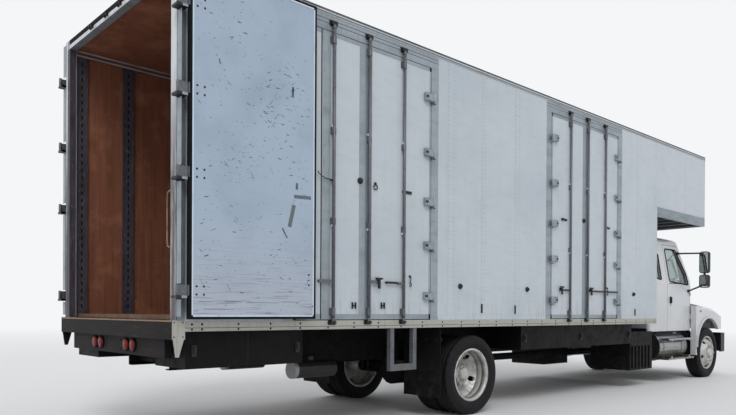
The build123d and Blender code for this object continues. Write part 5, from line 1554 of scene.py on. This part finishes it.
# Cab: windows' outlines in side view, the same as the openings
WINDOW = [(9.030, 1.690), (9.770, 1.640), (9.740, 1.830), (9.430, 2.240), (9.020, 2.240)]
QUARTER = [(8.570, 1.720), (8.740, 1.700), (8.740, 2.130), (8.640, 2.130)]
WINDSCREEN = [(-0.806, 1.644), (0.806, 1.644), (0.806, 2.316), (-0.806, 2.316)]
CAB_HALF = 1.010
CAB_BELT = 1.640
SIDE_LEAN = 0.130 / 0.790
# The windscreen's foot, how far it slopes back for each metre up, and the way its face looks, forward and up
SCREEN_FOOT = (10.020, 1.58)
SCREEN_SLOPE = 0.40 / 0.78
SCREEN_FACING = (0.89, 0.45)
# Boxes on each side of the cab, as ends along, depths out and heights: the seal at the window's foot and the two
# parts of the handle are measured out from the side, the mirrors' glass and the hood's side lamp from the centre
WINDOW_FOOT = (9.020, 9.790, -4 * MM, 4 * MM, 1.652, 1.664)
HANDLE_PARTS = ((9.035, 9.085, 0.0, 10 * MM, 1.310, 1.430), (9.046, 9.062, 10 * MM, 34 * MM, 1.320, 1.420))
MIRROR_GLASSES = ((9.8775, 9.8795, 1.162, 1.298, 1.860, 2.220), (9.8775, 9.8795, 1.162, 1.298, 1.605, 1.815))
SIDE_LAMP = (10.000, 10.055, 1.124, 1.140, 1.175, 1.205)
DOOR_LOCK = (9.075, 1.285)
# Each wiper's foot and the tip of its blade, across the windscreen
WIPERS = ((-0.62, -0.10), (0.05, 0.60))


def rounded(points, radius, turns=5):
    """A closed outline with each corner rounded, as a list of points."""
    path = []
    for i, point in enumerate(points):
        here, before, after = Vector(point), Vector(points[i - 1]), Vector(points[(i + 1) % len(points)])
        back, ahead = (before - here).normalized(), (after - here).normalized()
        cut = radius / math.tan(back.angle(ahead) / 2)
        first, last = here + back * cut, here + ahead * cut
        for k in range(turns + 1):
            share = k / turns
            path.append((1 - share) ** 2 * first + 2 * share * (1 - share) * here + share ** 2 * last)
    return path


def on_cab_side(x, z, side, out):
    """A point on the cab's side, which leans in above the belt."""
    return (at(x), side * (CAB_HALF - max(0.0, z - CAB_BELT) * SIDE_LEAN + out), z)


def on_windscreen(y, z, out):
    """A point on the windscreen's slope."""
    foot_x, foot_z = SCREEN_FOOT
    return (at(foot_x - (z - foot_z) * SCREEN_SLOPE) + out * SCREEN_FACING[0], y, z + out * SCREEN_FACING[1])


class TRUCK_OT_cab_fittings(bpy.types.Operator):
    """Add the cab's window seals, handles, wipers, mirror glass and side lamps"""
    bl_idname = "truck.cab_fittings"
    bl_label = "Cab fittings"

    def execute(self, context):
        fixed, wipers, lamps = Shape(), Shape(), Shape()
        path = [on_windscreen(p.x, p.y, 2 * MM) for p in rounded(WINDSCREEN, 0.06)]
        fixed.tube(path + path[:1], 11 * MM, 8)
        for side, name in SIDE_NAMES:
            path = [on_cab_side(p.x, p.y, side, 1 * MM) for p in rounded(QUARTER, 0.03)]
            fixed.tube(path + path[:1], 9 * MM, 8)
            side_box(lamps, side, SIDE_LAMP)
            self.add_door_fittings(side, f"cab_door_{name}")
        for start, tip in WIPERS:
            arm, joint = start + (tip - start) * 0.5, start + (tip - start) * 0.1
            wipers.tube([on_windscreen(start, 1.60, 0.020), on_windscreen(arm, 1.70, 0.030)], 7 * MM, 8)
            wipers.tube([on_windscreen(joint, 1.672, 0.018), on_windscreen(tip, 1.72, 0.018)], 6 * MM, 6)
        fixed.piece("cab_window_seals", seal_rubber, "root", "flap_rubber")
        wipers.piece("wipers", moulded_plastic, "root", "mirror_black")
        lamps.piece("side_lamps", amber_lens, "hood", "lamp_clear", bevel=3 * MM)
        return {"FINISHED"}

    def add_door_fittings(self, side, body):
        """A cab door's window seal, its handle with the lock under it, and its mirrors' glass."""
        seals, handles, glass = Shape(), Shape(), Shape()
        path = [on_cab_side(p.x, p.y, side, 1 * MM) for p in rounded(WINDOW, 0.05)]
        seals.tube(path + path[:1], 10 * MM, 8)
        side_box(seals, side, WINDOW_FOOT, CAB_HALF)
        for sizes in HANDLE_PARTS:
            side_box(handles, side, sizes, CAB_HALF)
        lock = (at(DOOR_LOCK[0]), side * CAB_HALF, DOOR_LOCK[1])
        handles.lathe(lock, (0, side, 0), [(0, 0.013), (0.006, 0.012), (0.0065, 0)], 16)
        for sizes in MIRROR_GLASSES:
            side_box(glass, side, sizes)
        seals.piece(f"{body}_window_seal", seal_rubber, body, "flap_rubber")
        handles.piece(f"{body}_handle", moulded_plastic, body, "mirror_black", bevel=4 * MM)
        glass.piece(f"{body}_mirror_glass", mirror_silver, body, "wheel_silver")


# Springs: axle's place, inner and outer face across, underside, number of leaves and half the longest one's length
SPRINGS = ((REAR_AXLE, 0.478, 0.562, 0.520, 7, 0.66), (FRONT_AXLE, 0.343, 0.427, 0.440, 4, 0.63))
# A spring's two U-bolts: before and after the axle, how far clear of the leaves, and their foot and top
U_BOLTS = (-0.075, 0.075)
U_BOLT_CLEAR = 12 * MM
U_BOLT_SPAN = (-0.12, 0.09)
LEAF_PITCH = 10.5 * MM
LEAF_THICK = 9 * MM
# The boxes under the body: their outer face, the places of their catches and of the joints between their lids
BOX_FACE = 1.150
CATCH_PLACES = (1.180, 4.640, 5.950, 7.320, 0.180)
CATCH_HEIGHT = 0.83
# A catch's plate and its lever: half width, depths out from the box, and edges from the catch's height
CATCH_PARTS = ((22 * MM, 0.0, 12 * MM, -45 * MM, 45 * MM), (8 * MM, 12 * MM, 24 * MM, -20 * MM, 35 * MM))
LID_JOINTS = (0.675, 5.300, 6.640)
LID_SPAN = (0.70, 0.975)
# The bolts of the rear mud flaps: their place, height and places across
FLAP_PLACE = 3.025
FLAP_HEIGHT = 0.850
FLAP_BOLTS = (0.72, 0.86, 1.00, 1.14)
FUEL_CAP = (9.50, 0.860, 0.800)
FUEL_CAP_ROWS = [(0, 0.055), (0.030, 0.055), (0.040, 0.048), (0.042, 0)]


class TRUCK_OT_chassis_fittings(bpy.types.Operator):
    """Add spring leaves, U-bolts, box catches, flap bolts and the fuel caps"""
    bl_idname = "truck.chassis_fittings"
    bl_label = "Chassis fittings"

    def execute(self, context):
        iron, catches, caps = Shape(), Shape(), Shape()
        for side in SIDES:
            for spring in SPRINGS:
                self.add_spring(iron, side, *spring)
            for place in CATCH_PLACES:
                for half, y0, y1, low, high in CATCH_PARTS:
                    sizes = (place - half, place + half, y0, y1, CATCH_HEIGHT + low, CATCH_HEIGHT + high)
                    side_box(catches, side, sizes, BOX_FACE)
            for place in LID_JOINTS:
                side_box(catches, side, (place - 2 * MM, place + 2 * MM, 0.0, 1.5 * MM, *LID_SPAN), BOX_FACE)
            for y in FLAP_BOLTS:
                catches.dome((at(FLAP_PLACE), side * y, FLAP_HEIGHT), (-1, 0, 0), 9 * MM, 5 * MM)
            x, y, z = FUEL_CAP
            caps.lathe((at(x), side * y, z), (0, side * 0.5, 1), FUEL_CAP_ROWS, 24)
        iron.piece("springs_and_u_bolts", cast_iron, "root", "knuckle_iron")
        catches.piece("box_catches", dark_steel, "root", "post_metal", bevel=1.5 * MM)
        caps.piece("fuel_caps", polished_tank, "root", "tank_metal")
        return {"FINISHED"}

    def add_spring(self, iron, side, axle, inner, outer, low, leaves, half):
        """A spring's leaves, the longest on top, and the two U-bolts that hold it to the axle."""
        for number in range(leaves):
            reach = half * (1 - 0.10 * (leaves - 1 - number))
            z = low + number * LEAF_PITCH
            iron.box((at(axle) - reach, side * inner, z), (at(axle) + reach, side * outer, z + LEAF_THICK))
        near, far = inner - U_BOLT_CLEAR, outer + U_BOLT_CLEAR
        foot, top = U_BOLT_SPAN
        legs = [(near, foot), (near, top), (far, top), (far, foot)]
        for dx in U_BOLTS:
            iron.tube([(at(axle) + dx, side * y, low + dz) for y, dz in legs], 9 * MM, 8)


class TRUCK_PT_panel(bpy.types.Panel):
    """The truck's panel in the 3D view's sidebar"""
    bl_label = "Truck"
    bl_space_type = "VIEW_3D"
    bl_region_type = "UI"
    bl_category = "Truck"

    def draw(self, context):
        for operator in OPERATORS:
            self.layout.operator(operator.bl_idname)
        for settings in (context.scene.truck_stage, context.scene.truck_fittings):
            for name in type(settings).__annotations__:
                self.layout.prop(settings, name)


OPERATORS = (
    TRUCK_OT_finishes, TRUCK_OT_sheet_fastenings, TRUCK_OT_rail_fittings, TRUCK_OT_side_door_fittings,
    TRUCK_OT_rear_doors, TRUCK_OT_rear_frame_fittings, TRUCK_OT_hold_fittings, TRUCK_OT_wheels,
    TRUCK_OT_cab_fittings, TRUCK_OT_chassis_fittings, TRUCK_OT_stage,
)
CLASSES = (StageSettings, FittingSettings) + OPERATORS + (TRUCK_PT_panel,)


def register():
    for each in CLASSES:
        bpy.utils.register_class(each)
    bpy.types.Scene.truck_stage = bpy.props.PointerProperty(type=StageSettings)
    bpy.types.Scene.truck_fittings = bpy.props.PointerProperty(type=FittingSettings)


def unregister():
    del bpy.types.Scene.truck_fittings
    del bpy.types.Scene.truck_stage
    for each in reversed(CLASSES):
        bpy.utils.unregister_class(each)


def main():
    """Register the add-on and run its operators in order."""
    register()
    for operator in OPERATORS:
        group, name = operator.bl_idname.split(".")
        getattr(getattr(bpy.ops, group), name)()


if __name__ == "__main__":
    main()
